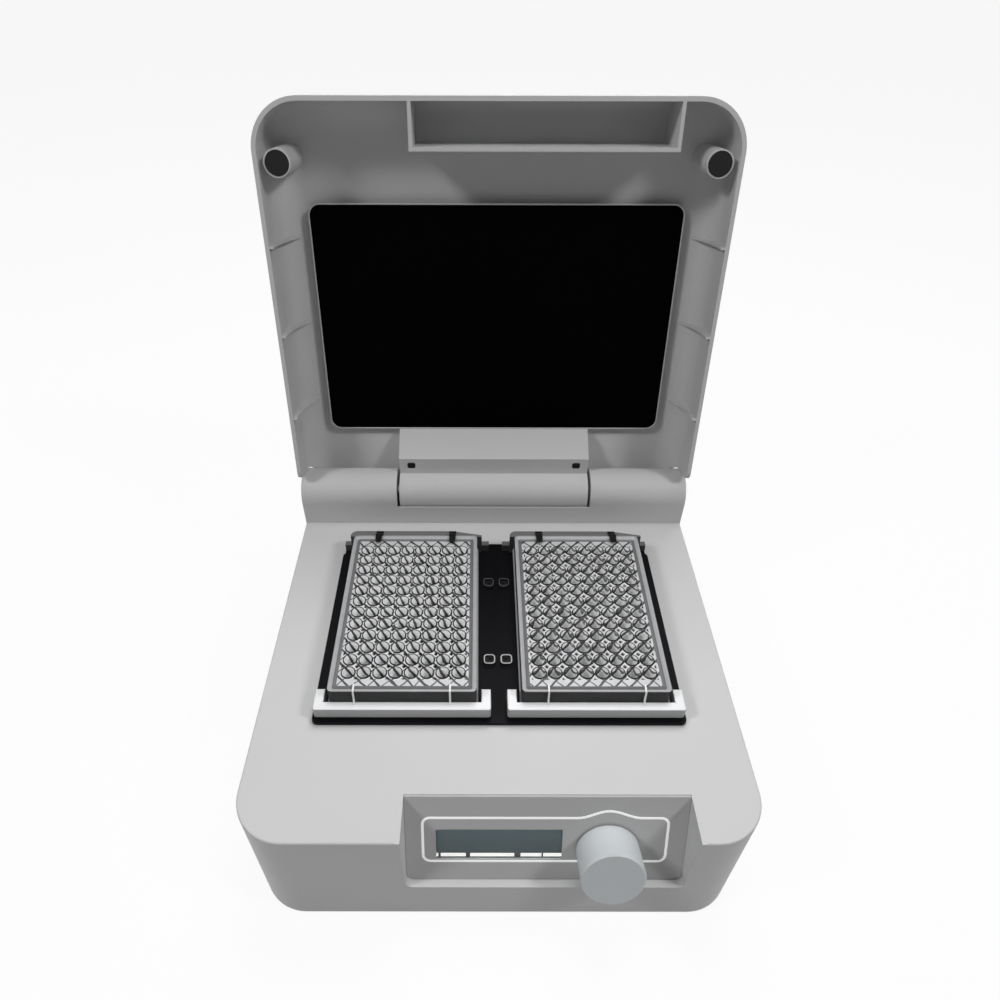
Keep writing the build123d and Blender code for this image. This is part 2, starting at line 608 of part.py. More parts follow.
with BuildPart() as platform_plate:
    with BuildSketch(Plane.XY.offset(SLAB_Z)) as slab:
        with Locations((PLATFORM_X, PLATFORM_Y)):
            RectangleRounded(PLATFORM_WIDTH, PLATFORM_DEPTH, PLATFORM_CORNER_R)
        with Locations((PLATFORM_X, PLATFORM_Y + PLATFORM_DEPTH / 2)):
            Rectangle(TAB_WIDTH, 2 * TAB_LENGTH)
        with Locations(*[(x, stop_front) for x in PLATE_X]):
            Rectangle(STOP_FOOT_WIDTH, 2 * STOP_DEPTH)
        with Locations(*screw_places):
            Circle(SCREW_R + RUNNING_FIT, mode=Mode.SUBTRACT)
    extrude(slab.sketch, amount=SLAB_THICKNESS)
    with BuildSketch(Plane.XY.offset(SLAB_TOP)) as pads:
        pad_length = PLATE_LENGTH - RAIL_LIFT
        with Locations(*[(x, pad_front + pad_length / 2) for x in PLATE_X]):
            Rectangle(PAD_WIDTH, pad_length)
    extrude(pads.sketch, amount=PAD_RISE)
    # channels below the pads for the clamp rods and their springs, and guides for the rods
    with BuildSketch(Plane.XY.offset(SLAB_Z)) as channels:
        with Locations(*[(x, pad_front + ROD_GUIDE + channel_length / 2) for x in rod_places]):
            Rectangle(CHANNEL_WIDTH, channel_length)
    extrude(channels.sketch, amount=SEAT_Z - CHANNEL_ROOF - SLAB_Z, mode=Mode.SUBTRACT)
    with BuildSketch(Plane.XZ.offset(-pad_front)) as guides:
        with Locations(*[(x, rod_z) for x in rod_places]):
            Circle(ROD_R + RUNNING_FIT)
    extrude(guides.sketch, amount=-ROD_GUIDE, mode=Mode.SUBTRACT)
    # pockets for the heater mats, and clearance holes for the screws into the posts
    with BuildSketch(Plane.XY.offset(SLAB_Z)) as mat_pockets:
        with Locations(*[(x, PLATE_Y) for x in PLATE_X]):
            Rectangle(MAT_WIDTH + SEAT_GAP, MAT_LENGTH + SEAT_GAP)
    extrude(mat_pockets.sketch, amount=MAT_THICKNESS, mode=Mode.SUBTRACT)
platform_plate.part.label = "platform_plate"
export_step(platform_plate.part, "parts/platform_plate.step")

with BuildPart() as heater_mats:
    with BuildSketch(Plane.XY.offset(SLAB_Z)) as mats:
        with Locations(*[(x, PLATE_Y) for x in PLATE_X]):
            Rectangle(MAT_WIDTH, MAT_LENGTH)
    extrude(mats.sketch, amount=MAT_THICKNESS)
heater_mats.part.label = "heater_mats"
export_step(heater_mats.part, "parts/heater_mats.step")

with BuildPart() as platform_screws:
    with BuildSketch(Plane.XY.offset(SLAB_TOP)) as heads:
        with Locations(*screw_places):
            Circle(SCREW_HEAD_R)
    extrude(heads.sketch, amount=SCREW_HEAD / 2)
    with BuildSketch(Plane.XY.offset(SLAB_TOP + SCREW_HEAD / 2)) as sockets:
        with Locations(*screw_places):
            RegularPolygon(SCREW_R, 6)
    extrude(sockets.sketch, amount=-SCREW_HEAD / 2 + SEAT_GAP, mode=Mode.SUBTRACT)
    with BuildSketch(Plane.XY.offset(SLAB_Z)) as shanks:
        with Locations(*screw_places):
            Circle(SCREW_R)
    extrude(shanks.sketch, amount=SLAB_THICKNESS)
platform_screws.part.label = "platform_screws"
export_step(platform_screws.part, "parts/platform_screws.step")

# ---------------------------------------------------------------- clamp rails, one for each plate
rail_z = SLAB_TOP + RAIL_LIFT
rail_front = rail_back - RAIL_BAR
side_names = ("left", "right")

for name, x in zip(side_names, PLATE_X):
    with BuildPart() as clamp_rail:
        with BuildSketch(Plane.XY.offset(rail_z)) as rail_plan:
            with Locations((x, rail_front + RAIL_REACH / 2)):
                Rectangle(RAIL_WIDTH, RAIL_REACH)
            with Locations((x, rail_back + RAIL_REACH / 2)):
                Rectangle(RAIL_WIDTH - 2 * RAIL_ARM, RAIL_REACH, mode=Mode.SUBTRACT)
            fillet(rail_plan.vertices().group_by(Axis.Y)[0], RAIL_CHAMFER)
        extrude(rail_plan.sketch, amount=RAIL_HEIGHT)
        chamfer(
            clamp_rail.edges().filter_by(Axis.X).group_by(Axis.Y)[0].group_by(Axis.Z)[0],
            RAIL_CHAMFER,
        )
        fillet(clamp_rail.faces().sort_by(Axis.Z)[-1].edges(), RAIL_EDGE_R)
        rod_length = ROD_GUIDE + channel_length - SEAT_GAP
        for rod_x in (x - ROD_SPAN / 2, x + ROD_SPAN / 2):
            with BuildSketch(Plane.XZ.offset(-rail_back)) as rod:
                with Locations((rod_x, rod_z)):
                    Circle(ROD_R)
            extrude(rod.sketch, amount=-rod_length)
            with BuildSketch(Plane.XZ.offset(-rail_back - rod_length)) as rod_head:
                with Locations((rod_x, rod_z)):
                    Circle(SPRING_R)
            extrude(rod_head.sketch, amount=ROD_HEAD)
    clamp_rail.part.label = "clamp_rail_" + name
    export_step(clamp_rail.part, "parts/clamp_rail_" + name + ".step")

    with BuildPart() as clamp_springs:
        for rod_x in (x - ROD_SPAN / 2, x + ROD_SPAN / 2):
            with BuildSketch(Plane.XZ.offset(-pad_front - ROD_GUIDE)) as coil:
                with Locations((rod_x, rod_z)):
                    Circle(SPRING_R)
                    Circle(ROD_R + SPRING_WIRE_GAP, mode=Mode.SUBTRACT)
            extrude(coil.sketch, amount=-SPRING_LENGTH + SEAT_GAP)
    clamp_springs.part.label = "clamp_springs_" + name
    export_step(clamp_springs.part, "parts/clamp_springs_" + name + ".step")

# ---------------------------------------------------------------- rear stops
with BuildPart() as rear_stops:
    for x in PLATE_X:
        bevel_run, bevel_drop = STOP_BEVEL
        with BuildSketch(Plane.XY.offset(SLAB_TOP)) as stop_plan:
            with BuildLine():
                Polyline(
                    (x - STOP_WIDTH / 2, stop_front),
                    (x + STOP_WIDTH / 2, stop_front),
                    (x + STOP_WIDTH / 2, stop_front + STOP_DEPTH - bevel_drop),
                    (x + STOP_WIDTH / 2 - bevel_run, stop_front + STOP_DEPTH),
                    (x - STOP_WIDTH / 2, stop_front + STOP_DEPTH),
                    close=True,
                )
            make_face()
            rear_corners = stop_plan.vertices().group_by(Axis.Y)[-1]
            fillet(rear_corners.sort_by(Axis.X)[0], STOP_CORNER_R)
        extrude(stop_plan.sketch, amount=STOP_HEIGHT)
        with BuildSketch(Plane.XY.offset(SLAB_TOP)) as foot_plan:
            with Locations((x, stop_front + STOP_DEPTH - STOP_FOOT_DEPTH / 2)):
                Rectangle(STOP_FOOT_WIDTH, STOP_FOOT_DEPTH)
        extrude(foot_plan.sketch, amount=STOP_FOOT_HEIGHT)
rear_stops.part.label = "rear_stops"
export_step(rear_stops.part, "parts/rear_stops.step")

# ---------------------------------------------------------------- microplates
for name, x in zip(side_names, PLATE_X):
    with BuildPart() as microplate:
        with BuildSketch(Plane.XY.offset(SEAT_Z)) as flange:
            with Locations((x, PLATE_Y)):
                Rectangle(PLATE_WIDTH, PLATE_LENGTH)
            fillet(flange.vertices(), PLATE_NOTCH / 2)
        extrude(flange.sketch, amount=PLATE_FLANGE)
        with BuildSketch(Plane.XY.offset(SEAT_Z + PLATE_FLANGE)) as tray:
            with Locations((x, PLATE_Y)):
                Rectangle(PLATE_WIDTH - 2 * PLATE_STEP, PLATE_LENGTH - 2 * PLATE_STEP)
            chamfer(tray.vertices().group_by(Axis.X)[0], PLATE_NOTCH)
        extrude(tray.sketch, amount=PLATE_HEIGHT - PLATE_FLANGE)
        with BuildSketch(Plane.XY.offset(SEAT_Z + PLATE_HEIGHT)) as wells:
            with Locations((x, PLATE_Y)):
                with GridLocations(WELL_PITCH, WELL_PITCH, WELL_ROWS, WELL_COLUMNS):
                    RegularPolygon(WELL_R, 8)
        extrude(wells.sketch, amount=-WELL_DEPTH, mode=Mode.SUBTRACT)
    microplate.part.label = "microplate_" + name
    export_step(microplate.part, "parts/microplate_" + name + ".step")

# ---------------------------------------------------------------- chassis, motor and cranks
with BuildPart() as chassis_plate:
    with BuildSketch(Plane.XY.offset(CHASSIS_Z)) as chassis_plan:
        with Locations((0, PLATE_Y)):
            RectangleRounded(CHASSIS_WIDTH, CHASSIS_DEPTH, BOSS_R)
            Circle(CRANK_R + BEARING_WALL, mode=Mode.SUBTRACT)
            with Locations(*idler_places):
                Circle(IDLER_R + BEARING_WALL, mode=Mode.SUBTRACT)
            with PolarLocations(MOTOR_SCREW_R, 3):
                Circle(SCREW_R + RUNNING_FIT, mode=Mode.SUBTRACT)
    extrude(chassis_plan.sketch, amount=CHASSIS_THICKNESS)
chassis_plate.part.label = "chassis_plate"
export_step(chassis_plate.part, "parts/chassis_plate.step")

with BuildPart() as chassis_pillars:
    with BuildSketch(Plane.XY.offset(FLOOR_Z)) as pillars:
        with Locations((0, PLATE_Y)):
            with GridLocations(PILLAR_SPAN_X, PILLAR_SPAN_Y, 2, 2):
                Circle(PILLAR_R)
    extrude(pillars.sketch, amount=CHASSIS_Z - FLOOR_Z)
chassis_pillars.part.label = "chassis_pillars"
export_step(chassis_pillars.part, "parts/chassis_pillars.step")

with BuildPart() as chassis_bearings:
    with BuildSketch(Plane.XY.offset(CHASSIS_Z)) as lower_rings:
        with Locations((0, PLATE_Y)):
            Circle(CRANK_R + BEARING_WALL)
            Circle(CRANK_R + RUNNING_FIT, mode=Mode.SUBTRACT)
            with Locations(*idler_places):
                Circle(IDLER_R + BEARING_WALL)
                Circle(IDLER_R + RUNNING_FIT, mode=Mode.SUBTRACT)
    extrude(lower_rings.sketch, amount=CHASSIS_THICKNESS)
chassis_bearings.part.label = "chassis_bearings"
export_step(chassis_bearings.part, "parts/chassis_bearings.step")

with BuildPart() as carrier_bearings:
    with BuildSketch(Plane.XY.offset(CARRIER_Z)) as upper_rings:
        with Locations((PLATFORM_X, PLATE_Y)):
            Circle(PIN_R + BEARING_WALL)
            Circle(PIN_R + RUNNING_FIT, mode=Mode.SUBTRACT)
            with Locations(*idler_places):
                Circle(IDLER_R + BEARING_WALL)
                Circle(IDLER_R + RUNNING_FIT, mode=Mode.SUBTRACT)
    extrude(upper_rings.sketch, amount=BEARING_HEIGHT)
carrier_bearings.part.label = "carrier_bearings"
export_step(carrier_bearings.part, "parts/carrier_bearings.step")

motor_top = CHASSIS_Z
with BuildPart() as drive_motor:
    with BuildSketch(Plane.XY.offset(motor_top)) as motor_can:
        with Locations((0, PLATE_Y)):
            Circle(MOTOR_R)
            Circle(CRANK_R + RUNNING_FIT, mode=Mode.SUBTRACT)
    extrude(motor_can.sketch, amount=-MOTOR_HEIGHT)
drive_motor.part.label = "drive_motor"
export_step(drive_motor.part, "parts/drive_motor.step")

pin_top = CARRIER_Z + BEARING_HEIGHT - SEAT_GAP
weight_z = CHASSIS_TOP + (CHASSIS_DROP - WEIGHT_HEIGHT) / 2
with BuildPart() as crank_shaft:
    with BuildSketch(Plane.XY.offset(motor_top - MOTOR_HEIGHT)) as main_shaft:
        with Locations((0, PLATE_Y)):
            Circle(CRANK_R)
    extrude(main_shaft.sketch, amount=weight_z + WEIGHT_HEIGHT - motor_top + MOTOR_HEIGHT)
    with BuildSketch(Plane.XY.offset(weight_z + WEIGHT_HEIGHT)) as crank_web:
        with Locations((0, PLATE_Y)):
            Circle(CRANK_R + ORBIT_R)
    extrude(crank_web.sketch, amount=SCREW_HEAD)
    with BuildSketch(Plane.XY.offset(weight_z + WEIGHT_HEIGHT + SCREW_HEAD)) as crank_pin:
        with Locations((ORBIT_R, PLATE_Y)):
            Circle(PIN_R)
    extrude(crank_pin.sketch, amount=pin_top - weight_z - WEIGHT_HEIGHT - SCREW_HEAD)
crank_shaft.part.label = "crank_shaft"
export_step(crank_shaft.part, "parts/crank_shaft.step")

with BuildPart() as counterweight:
    with BuildSketch(Plane.XY.offset(weight_z)) as weight_plan:
        with Locations((0, PLATE_Y)):
            Circle(WEIGHT_R)
        with Locations((WEIGHT_R, PLATE_Y)):
            Rectangle(2 * WEIGHT_R, 2 * WEIGHT_R, mode=Mode.SUBTRACT)
        with Locations((0, PLATE_Y)):
            Circle(CRANK_R + BEARING_WALL)
            Circle(CRANK_R, mode=Mode.SUBTRACT)
    extrude(weight_plan.sketch, amount=WEIGHT_HEIGHT)
counterweight.part.label = "counterweight"
export_step(counterweight.part, "parts/counterweight.step")

disc_z = weight_z
for number, (dx, dy) in enumerate(idler_places, start=1):
    with BuildPart() as idler_crank:
        with BuildSketch(Plane.XY.offset(CHASSIS_Z)) as idler_shaft:
            with Locations((dx, PLATE_Y + dy)):
                Circle(IDLER_R)
        extrude(idler_shaft.sketch, amount=disc_z - CHASSIS_Z)
        with BuildSketch(Plane.XY.offset(disc_z)) as idler_disc:
            with Locations((dx, PLATE_Y + dy)):
                Circle(IDLER_DISC_R)
        extrude(idler_disc.sketch, amount=IDLER_DISC_HEIGHT)
        with BuildSketch(Plane.XY.offset(disc_z + IDLER_DISC_HEIGHT)) as idler_pin:
            with Locations((dx + ORBIT_R, PLATE_Y + dy)):
                Circle(IDLER_R)
        extrude(idler_pin.sketch, amount=pin_top - disc_z - IDLER_DISC_HEIGHT)
    idler_crank.part.label = "idler_crank_" + str(number)
    export_step(idler_crank.part, "parts/idler_crank_" + str(number) + ".step")

# ---------------------------------------------------------------- circuit board
with BuildPart() as circuit_board:
    with BuildSketch(Plane.XY.offset(FLOOR_Z + BOARD_STANDOFF)) as board_plan:
        with Locations((0, board_y)):
            Rectangle(BOARD_WIDTH, BOARD_DEPTH)
    extrude(board_plan.sketch, amount=BOARD_THICKNESS)
    with BuildSketch(Plane.XY.offset(FLOOR_Z)) as standoffs:
        with Locations((0, board_y)):
            with GridLocations(BOARD_WIDTH - 2 * SCREW_HEAD_R, BOARD_DEPTH - 2 * SCREW_HEAD_R, 2, 2):
                Circle(SCREW_HEAD_R)
    extrude(standoffs.sketch, amount=BOARD_STANDOFF)
circuit_board.part.label = "circuit_board"
export_step(circuit_board.part, "parts/circuit_board.step")

# ---------------------------------------------------------------- power inlet and switch
rear_plane = Plane.XZ.offset(-REAR_Y)
with BuildPart() as power_inlet:
    with BuildSketch(rear_plane) as inlet_flange:
        with Locations((INLET_X, SERVICE_Z)):
            RectangleRounded(INLET_FLANGE_WIDTH, INLET_FLANGE_HEIGHT, PLATFORM_CORNER_R)
            with GridLocations(INLET_SCREW_SPAN, INLET_SCREW_SPAN, 2, 1):
                Circle(SCREW_R, mode=Mode.SUBTRACT)
    extrude(inlet_flange.sketch, amount=-INLET_FLANGE)
    with BuildSketch(rear_plane) as inlet_case:
        with Locations((INLET_X, SERVICE_Z)):
            Rectangle(INLET_WIDTH + 2 * INLET_WALL, INLET_HEIGHT + 2 * INLET_WALL)
    extrude(inlet_case.sketch, amount=INLET_DEPTH + INLET_WALL)
    with BuildSketch(rear_plane.offset(-INLET_FLANGE)) as inlet_cavity:
        with Locations((INLET_X, SERVICE_Z)):
            Rectangle(INLET_WIDTH, INLET_HEIGHT)
            chamfer(inlet_cavity.vertices().group_by(Axis.Y)[0], PLATE_NOTCH)
    extrude(inlet_cavity.sketch, amount=INLET_FLANGE + INLET_DEPTH, mode=Mode.SUBTRACT)
    pin_reach = INLET_DEPTH - INLET_WALL
    with BuildSketch(rear_plane.offset(INLET_DEPTH)) as inlet_pins:
        with Locations((INLET_X, SERVICE_Z)):
            with Locations(*[(n * PIN_PITCH, (0.5 - abs(n)) * PIN_HEIGHT) for n in (-1, 0, 1)]):
                Rectangle(PIN_WIDTH, PIN_HEIGHT)
    extrude(inlet_pins.sketch, amount=-pin_reach)
power_inlet.part.label = "power_inlet"
export_step(power_inlet.part, "parts/power_inlet.step")

inlet_screw_places = [(INLET_X + side * INLET_SCREW_SPAN / 2, SERVICE_Z) for side in (-1, 1)]
with BuildPart() as inlet_screws:
    with BuildSketch(rear_plane.offset(-INLET_FLANGE)) as inlet_heads:
        with Locations(*inlet_screw_places):
            Circle(SCREW_HEAD_R)
    extrude(inlet_heads.sketch, amount=-SCREW_HEAD)
    with BuildSketch(rear_plane.offset(-INLET_FLANGE)) as inlet_shanks:
        with Locations(*inlet_screw_places):
            Circle(SCREW_R - RUNNING_FIT)
    extrude(inlet_shanks.sketch, amount=INLET_FLANGE + 2 * WALL)
inlet_screws.part.label = "inlet_screws"
export_step(inlet_screws.part, "parts/inlet_screws.step")

with BuildPart() as switch_body:
    with BuildSketch(rear_plane) as bezel:
        with Locations((SWITCH_X, SERVICE_Z)):
            Rectangle(SWITCH_WIDTH + 2 * SWITCH_BEZEL, SWITCH_HEIGHT + 2 * SWITCH_BEZEL)
    extrude(bezel.sketch, amount=-SWITCH_BEZEL)
    with BuildSketch(rear_plane) as switch_case:
        with Locations((SWITCH_X, SERVICE_Z)):
            Rectangle(SWITCH_WIDTH, SWITCH_HEIGHT)
    extrude(switch_case.sketch, amount=SWITCH_DEPTH)
    with BuildSketch(rear_plane.offset(-SWITCH_BEZEL)) as rocker_well:
        with Locations((SWITCH_X, SERVICE_Z)):
            Rectangle(ROCKER_WIDTH + 2 * SEAT_GAP, SWITCH_HEIGHT - 2 * SWITCH_BEZEL)
    extrude(rocker_well.sketch, amount=SWITCH_BEZEL + SWITCH_DEPTH / 2, mode=Mode.SUBTRACT)
    with BuildSketch(Plane.YZ.offset(SWITCH_X)) as pivot_holes:
        with Locations((REAR_Y - PIVOT_DEPTH, SERVICE_Z)):
            Circle(PIVOT_R + RUNNING_FIT)
    extrude(pivot_holes.sketch, amount=SWITCH_WIDTH / 2, both=True, mode=Mode.SUBTRACT)
switch_body.part.label = "switch_body"
export_step(switch_body.part, "parts/switch_body.step")

rocker_plane = Plane(
    origin=(SWITCH_X, REAR_Y - PIVOT_DEPTH, SERVICE_Z),
    x_dir=(0, cos(radians(ROCKER_TILT)), -sin(radians(ROCKER_TILT))),
    z_dir=(1, 0, 0),
)
with BuildPart() as switch_rocker:
    with BuildSketch(rocker_plane) as rocker_side:
        with BuildLine():
            Polyline(
                (-ROCKER_BACK, -ROCKER_HALF),
                (ROCKER_FACE, -ROCKER_HALF),
                (ROCKER_FACE - ROCKER_DISH, 0),
                (ROCKER_FACE, ROCKER_HALF),
                (-ROCKER_BACK, ROCKER_HALF),
                close=True,
            )
        make_face()
    extrude(rocker_side.sketch, amount=ROCKER_WIDTH / 2, both=True)
    with BuildSketch(rocker_plane) as pivots:
        Circle(PIVOT_R)
    extrude(pivots.sketch, amount=SWITCH_WIDTH / 2 - SEAT_GAP, both=True)
switch_rocker.part.label = "switch_rocker"
export_step(switch_rocker.part, "parts/switch_rocker.step")

# ---------------------------------------------------------------- motor screws
with BuildPart() as motor_screws:
    for amount, radius in ((SCREW_HEAD, SCREW_HEAD_R), (-CHASSIS_THICKNESS, SCREW_R)):
        with BuildSketch(Plane.XY.offset(CHASSIS_TOP)) as motor_heads:
            with Locations((0, PLATE_Y)):
                with PolarLocations(MOTOR_SCREW_R, 3):
                    Circle(radius)
        extrude(motor_heads.sketch, amount=amount)
motor_screws.part.label = "motor_screws"
export_step(motor_screws.part, "parts/motor_screws.step")

# ---------------------------------------------------------------- hinge shaft
with BuildPart() as hinge_shaft:
    with BuildSketch(Plane.YZ) as shaft_section:
        with Locations((HINGE_Y, HINGE_Z)):
            Circle(SHAFT_R)
    extrude(shaft_section.sketch, amount=RECESS_HALF + BUSH_LENGTH - SEAT_GAP, both=True)
hinge_shaft.part.label = "hinge_shaft"
export_step(hinge_shaft.part, "parts/hinge_shaft.step")

# ---------------------------------------------------------------- lid shell
def lid_block(inset, top, back):
    """The lid's outside, or its hollow `inset` inside it: rounded plan and rounded upper edges."""
    with BuildPart() as block:
        front = LID_FRONT + inset
        with BuildSketch(lid_plane.offset(LID_RIM)) as plan:
            with Locations((0, (front + back) / 2)):
                Rectangle(BASE_WIDTH - 2 * inset, back - front)
            fillet(plan.vertices().group_by(Axis.Y)[0], CORNER_R - inset)
        extrude(plan.sketch, amount=top - LID_RIM)
        upper = block.faces().sort_by_distance(lid_plane.from_local_coords((0, front / 2, top)))[0]
        fillet(upper.edges().sort_by(Axis.Z)[1:], LID_EDGE_R - inset)
    return block.part


lid_floor = LID_TOP - WALL
side_start = LID_BACK - LID_REAR_R                           # rear end of the straight rim
with BuildPart() as lid_shell:
    add(lid_block(0, LID_TOP, 0))
    add(lid_block(WALL, lid_floor, WALL), mode=Mode.SUBTRACT)
    # the hood and the side walls end around the hinge ridge
    with BuildSketch(lid_side(-BASE_WIDTH / 2)) as ridge_room:
        Circle(HINGE_R + HOOD_GAP)
        with Locations((LID_BACK / 2, LID_RIM)):
            Rectangle(-LID_BACK, -2 * LID_RIM)
    extrude(ridge_room.sketch, amount=BASE_WIDTH, mode=Mode.SUBTRACT)
    with BuildSketch(lid_side(-BASE_WIDTH / 2)) as corner_cut:
        with Locations((side_start + LID_REAR_R / 2, LID_RIM + LID_REAR_R / 2)):
            Rectangle(LID_REAR_R, LID_REAR_R)
        with Locations((side_start, LID_RIM + LID_REAR_R)):
            Circle(LID_REAR_R, mode=Mode.SUBTRACT)
    extrude(corner_cut.sketch, amount=BASE_WIDTH, mode=Mode.SUBTRACT)
    # finger pocket over the control notch
    pocket_back = LID_FRONT + NOTCH_DEPTH + POCKET_WALL
    with BuildSketch(lid_plane.offset(LID_RIM)) as pocket_rib:
        with Locations(((NOTCH_LEFT + NOTCH_RIGHT) / 2, (LID_FRONT + WALL / 2 + pocket_back) / 2)):
            Rectangle(NOTCH_RIGHT - NOTCH_LEFT, pocket_back - LID_FRONT - WALL / 2)
        with Locations(((NOTCH_LEFT + NOTCH_RIGHT) / 2, (LID_FRONT + pocket_back) / 2 - POCKET_WALL)):
            Rectangle(
                NOTCH_RIGHT - NOTCH_LEFT - 2 * POCKET_WALL,
                pocket_back - LID_FRONT,
                mode=Mode.SUBTRACT,
            )
    extrude(pocket_rib.sketch, amount=lid_floor - LID_RIM)
    # bosses for the bumpers, and gussets along the sides
    bumper_places = [
        (side * (BASE_WIDTH / 2 - BUMPER_INSET_X), LID_FRONT + BUMPER_INSET_Y) for side in (-1, 1)
    ]
    with BuildSketch(lid_plane.offset(LID_RIM)) as bumper_bosses:
        with Locations(*bumper_places):
            Circle(BUMPER_BOSS_R)
    extrude(bumper_bosses.sketch, amount=lid_floor - LID_RIM)
    with BuildSketch(lid_plane.offset(LID_RIM)) as bumper_seats:
        with Locations(*bumper_places):
            Circle(BUMPER_R)
    extrude(bumper_seats.sketch, amount=BUMPER_DEPTH, mode=Mode.SUBTRACT)
    inner_x = BASE_WIDTH / 2 - WALL / 2
    for place in RIB_PLACES:
        gusset_plane = Plane(
            origin=lid_plane.from_local_coords((0, side_start - place, 0)),
            x_dir=(1, 0, 0),
            z_dir=lid_plane.y_dir,
        )
        for side in (-1, 1):
            with BuildSketch(gusset_plane) as gusset:
                rim_end = (side * (inner_x - RIM_RIB), -LID_RIM)
                floor_end = (side * (inner_x - RIB_REACH), -lid_floor)
                with BuildLine():
                    SagittaArc(rim_end, floor_end, side * RIB_SAG)
                    Polyline(floor_end, (side * inner_x, -lid_floor), (side * inner_x, -LID_RIM), rim_end)
                make_face()
            extrude(gusset.sketch, amount=RIB_WALL / 2, both=True)
    add(lid_block(0, LID_TOP, 0), mode=Mode.INTERSECT)
lid_shell.part.label = "lid_shell"
export_step(lid_shell.part, "parts/lid_shell.step")

# ---------------------------------------------------------------- lid heater, bumpers
heater_z = lid_floor - SEAT_GAP - HEATER_THICKNESS
heater_back = side_start - HEATER_START
with BuildPart() as lid_heater:
    with BuildSketch(lid_plane.offset(heater_z)) as heater_plan:
        with Locations((0, heater_back - HEATER_LENGTH / 2)):
            RectangleRounded(BASE_WIDTH - 2 * HEATER_INSET_X, HEATER_LENGTH, HEATER_R)
    extrude(heater_plan.sketch, amount=HEATER_THICKNESS)
lid_heater.part.label = "lid_heater"
export_step(lid_heater.part, "parts/lid_heater.step")

with BuildPart() as lid_bumpers:
    with BuildSketch(lid_plane.offset(LID_RIM - BUMPER_PROUD)) as bumper_discs:
        with Locations(*bumper_places):
            Circle(BUMPER_R - SEAT_GAP)
    extrude(bumper_discs.sketch, amount=BUMPER_PROUD + BUMPER_DEPTH)
lid_bumpers.part.label = "lid_bumpers"
export_step(lid_bumpers.part, "parts/lid_bumpers.step")

# ---------------------------------------------------------------- hinge arm, its bushes and screws
barrel_half = RECESS_HALF - SIDE_GAP
root_angle = radians(ARM_ROOT_ANGLE)
arm_tip = HINGE_R + ARM_STEP
arm_roof = lid_floor - SEAT_GAP
# the arm's back stays above the recess when the lid stands open
arm_back = -arm_roof * tan(open_angle - radians(90)) - SEAT_GAP
with BuildPart() as hinge_arm:
    with BuildSketch(lid_side(-barrel_half)) as arm_side:
        with BuildLine():
            Polyline(
                (0, 0),
                (arm_tip * cos(root_angle), arm_tip * sin(root_angle)),
                (heater_back + SEAT_GAP, heater_z),
                (heater_back + SEAT_GAP, arm_roof),
                (arm_back, arm_roof),
                close=True,
            )
        make_face()
        Circle(BARREL_R)
    extrude(arm_side.sketch, amount=2 * barrel_half)
    with BuildSketch(lid_side(-barrel_half)) as arm_bore:
        Circle(SHAFT_R + SEAT_GAP)
    extrude(arm_bore.sketch, amount=2 * barrel_half, mode=Mode.SUBTRACT)
    for end, way in ((-barrel_half, 1), (barrel_half, -1)):
        with BuildSketch(lid_side(end)) as bush_seat:
            Circle(SHAFT_R + BUSH_WALL)
        extrude(bush_seat.sketch, amount=way * BUSH_LENGTH, mode=Mode.SUBTRACT)
    screw_plane = Plane(
        origin=lid_side(0).from_local_coords(
            ((HINGE_R + ARM_STEP / 2) * cos(root_angle), (HINGE_R + ARM_STEP / 2) * sin(root_angle), 0)
        ),
        x_dir=(1, 0, 0),
        z_dir=lid_side(0).from_local_coords((-sin(root_angle), cos(root_angle), 0)) - lid_side(0).origin,
    )
    with BuildSketch(screw_plane) as screw_pockets:
        with Locations((-ARM_SCREW_X, 0), (ARM_SCREW_X, 0)):
            RectangleRounded(
                ARM_SCREW_WIDTH + 2 * RUNNING_FIT,
                ARM_SCREW_HEIGHT + 2 * RUNNING_FIT,
                SCREW_R,
            )
    extrude(screw_pockets.sketch, amount=-ARM_SCREW_DEPTH, mode=Mode.SUBTRACT)
hinge_arm.part.label = "hinge_arm"
export_step(hinge_arm.part, "parts/hinge_arm.step")

with BuildPart() as arm_screws:
    with BuildSketch(screw_plane.offset(-ARM_SCREW_DEPTH)) as arm_heads:
        with Locations((-ARM_SCREW_X, 0), (ARM_SCREW_X, 0)):
            RectangleRounded(ARM_SCREW_WIDTH, ARM_SCREW_HEIGHT, SCREW_R)
    extrude(arm_heads.sketch, amount=ARM_SCREW_DEPTH - SEAT_GAP)
arm_screws.part.label = "arm_screws"
export_step(arm_screws.part, "parts/arm_screws.step")

with BuildPart() as hinge_bushes:
    for end, way in ((-barrel_half, 1), (barrel_half, -1)):
        with BuildSketch(lid_side(end)) as bush:
            Circle(SHAFT_R + BUSH_WALL)
            Circle(SHAFT_R + RUNNING_FIT, mode=Mode.SUBTRACT)
        extrude(bush.sketch, amount=way * BUSH_LENGTH)
hinge_bushes.part.label = "hinge_bushes"
export_step(hinge_bushes.part, "parts/hinge_bushes.step")
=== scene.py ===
"""Looks for the two-plate thermal mixer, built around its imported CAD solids.

The file is laid out as a Blender add-on and is run as a script. Lengths are in metres.
"""

import json
import math

import bmesh
import bpy
import numpy as np
from mathutils import Matrix, Vector


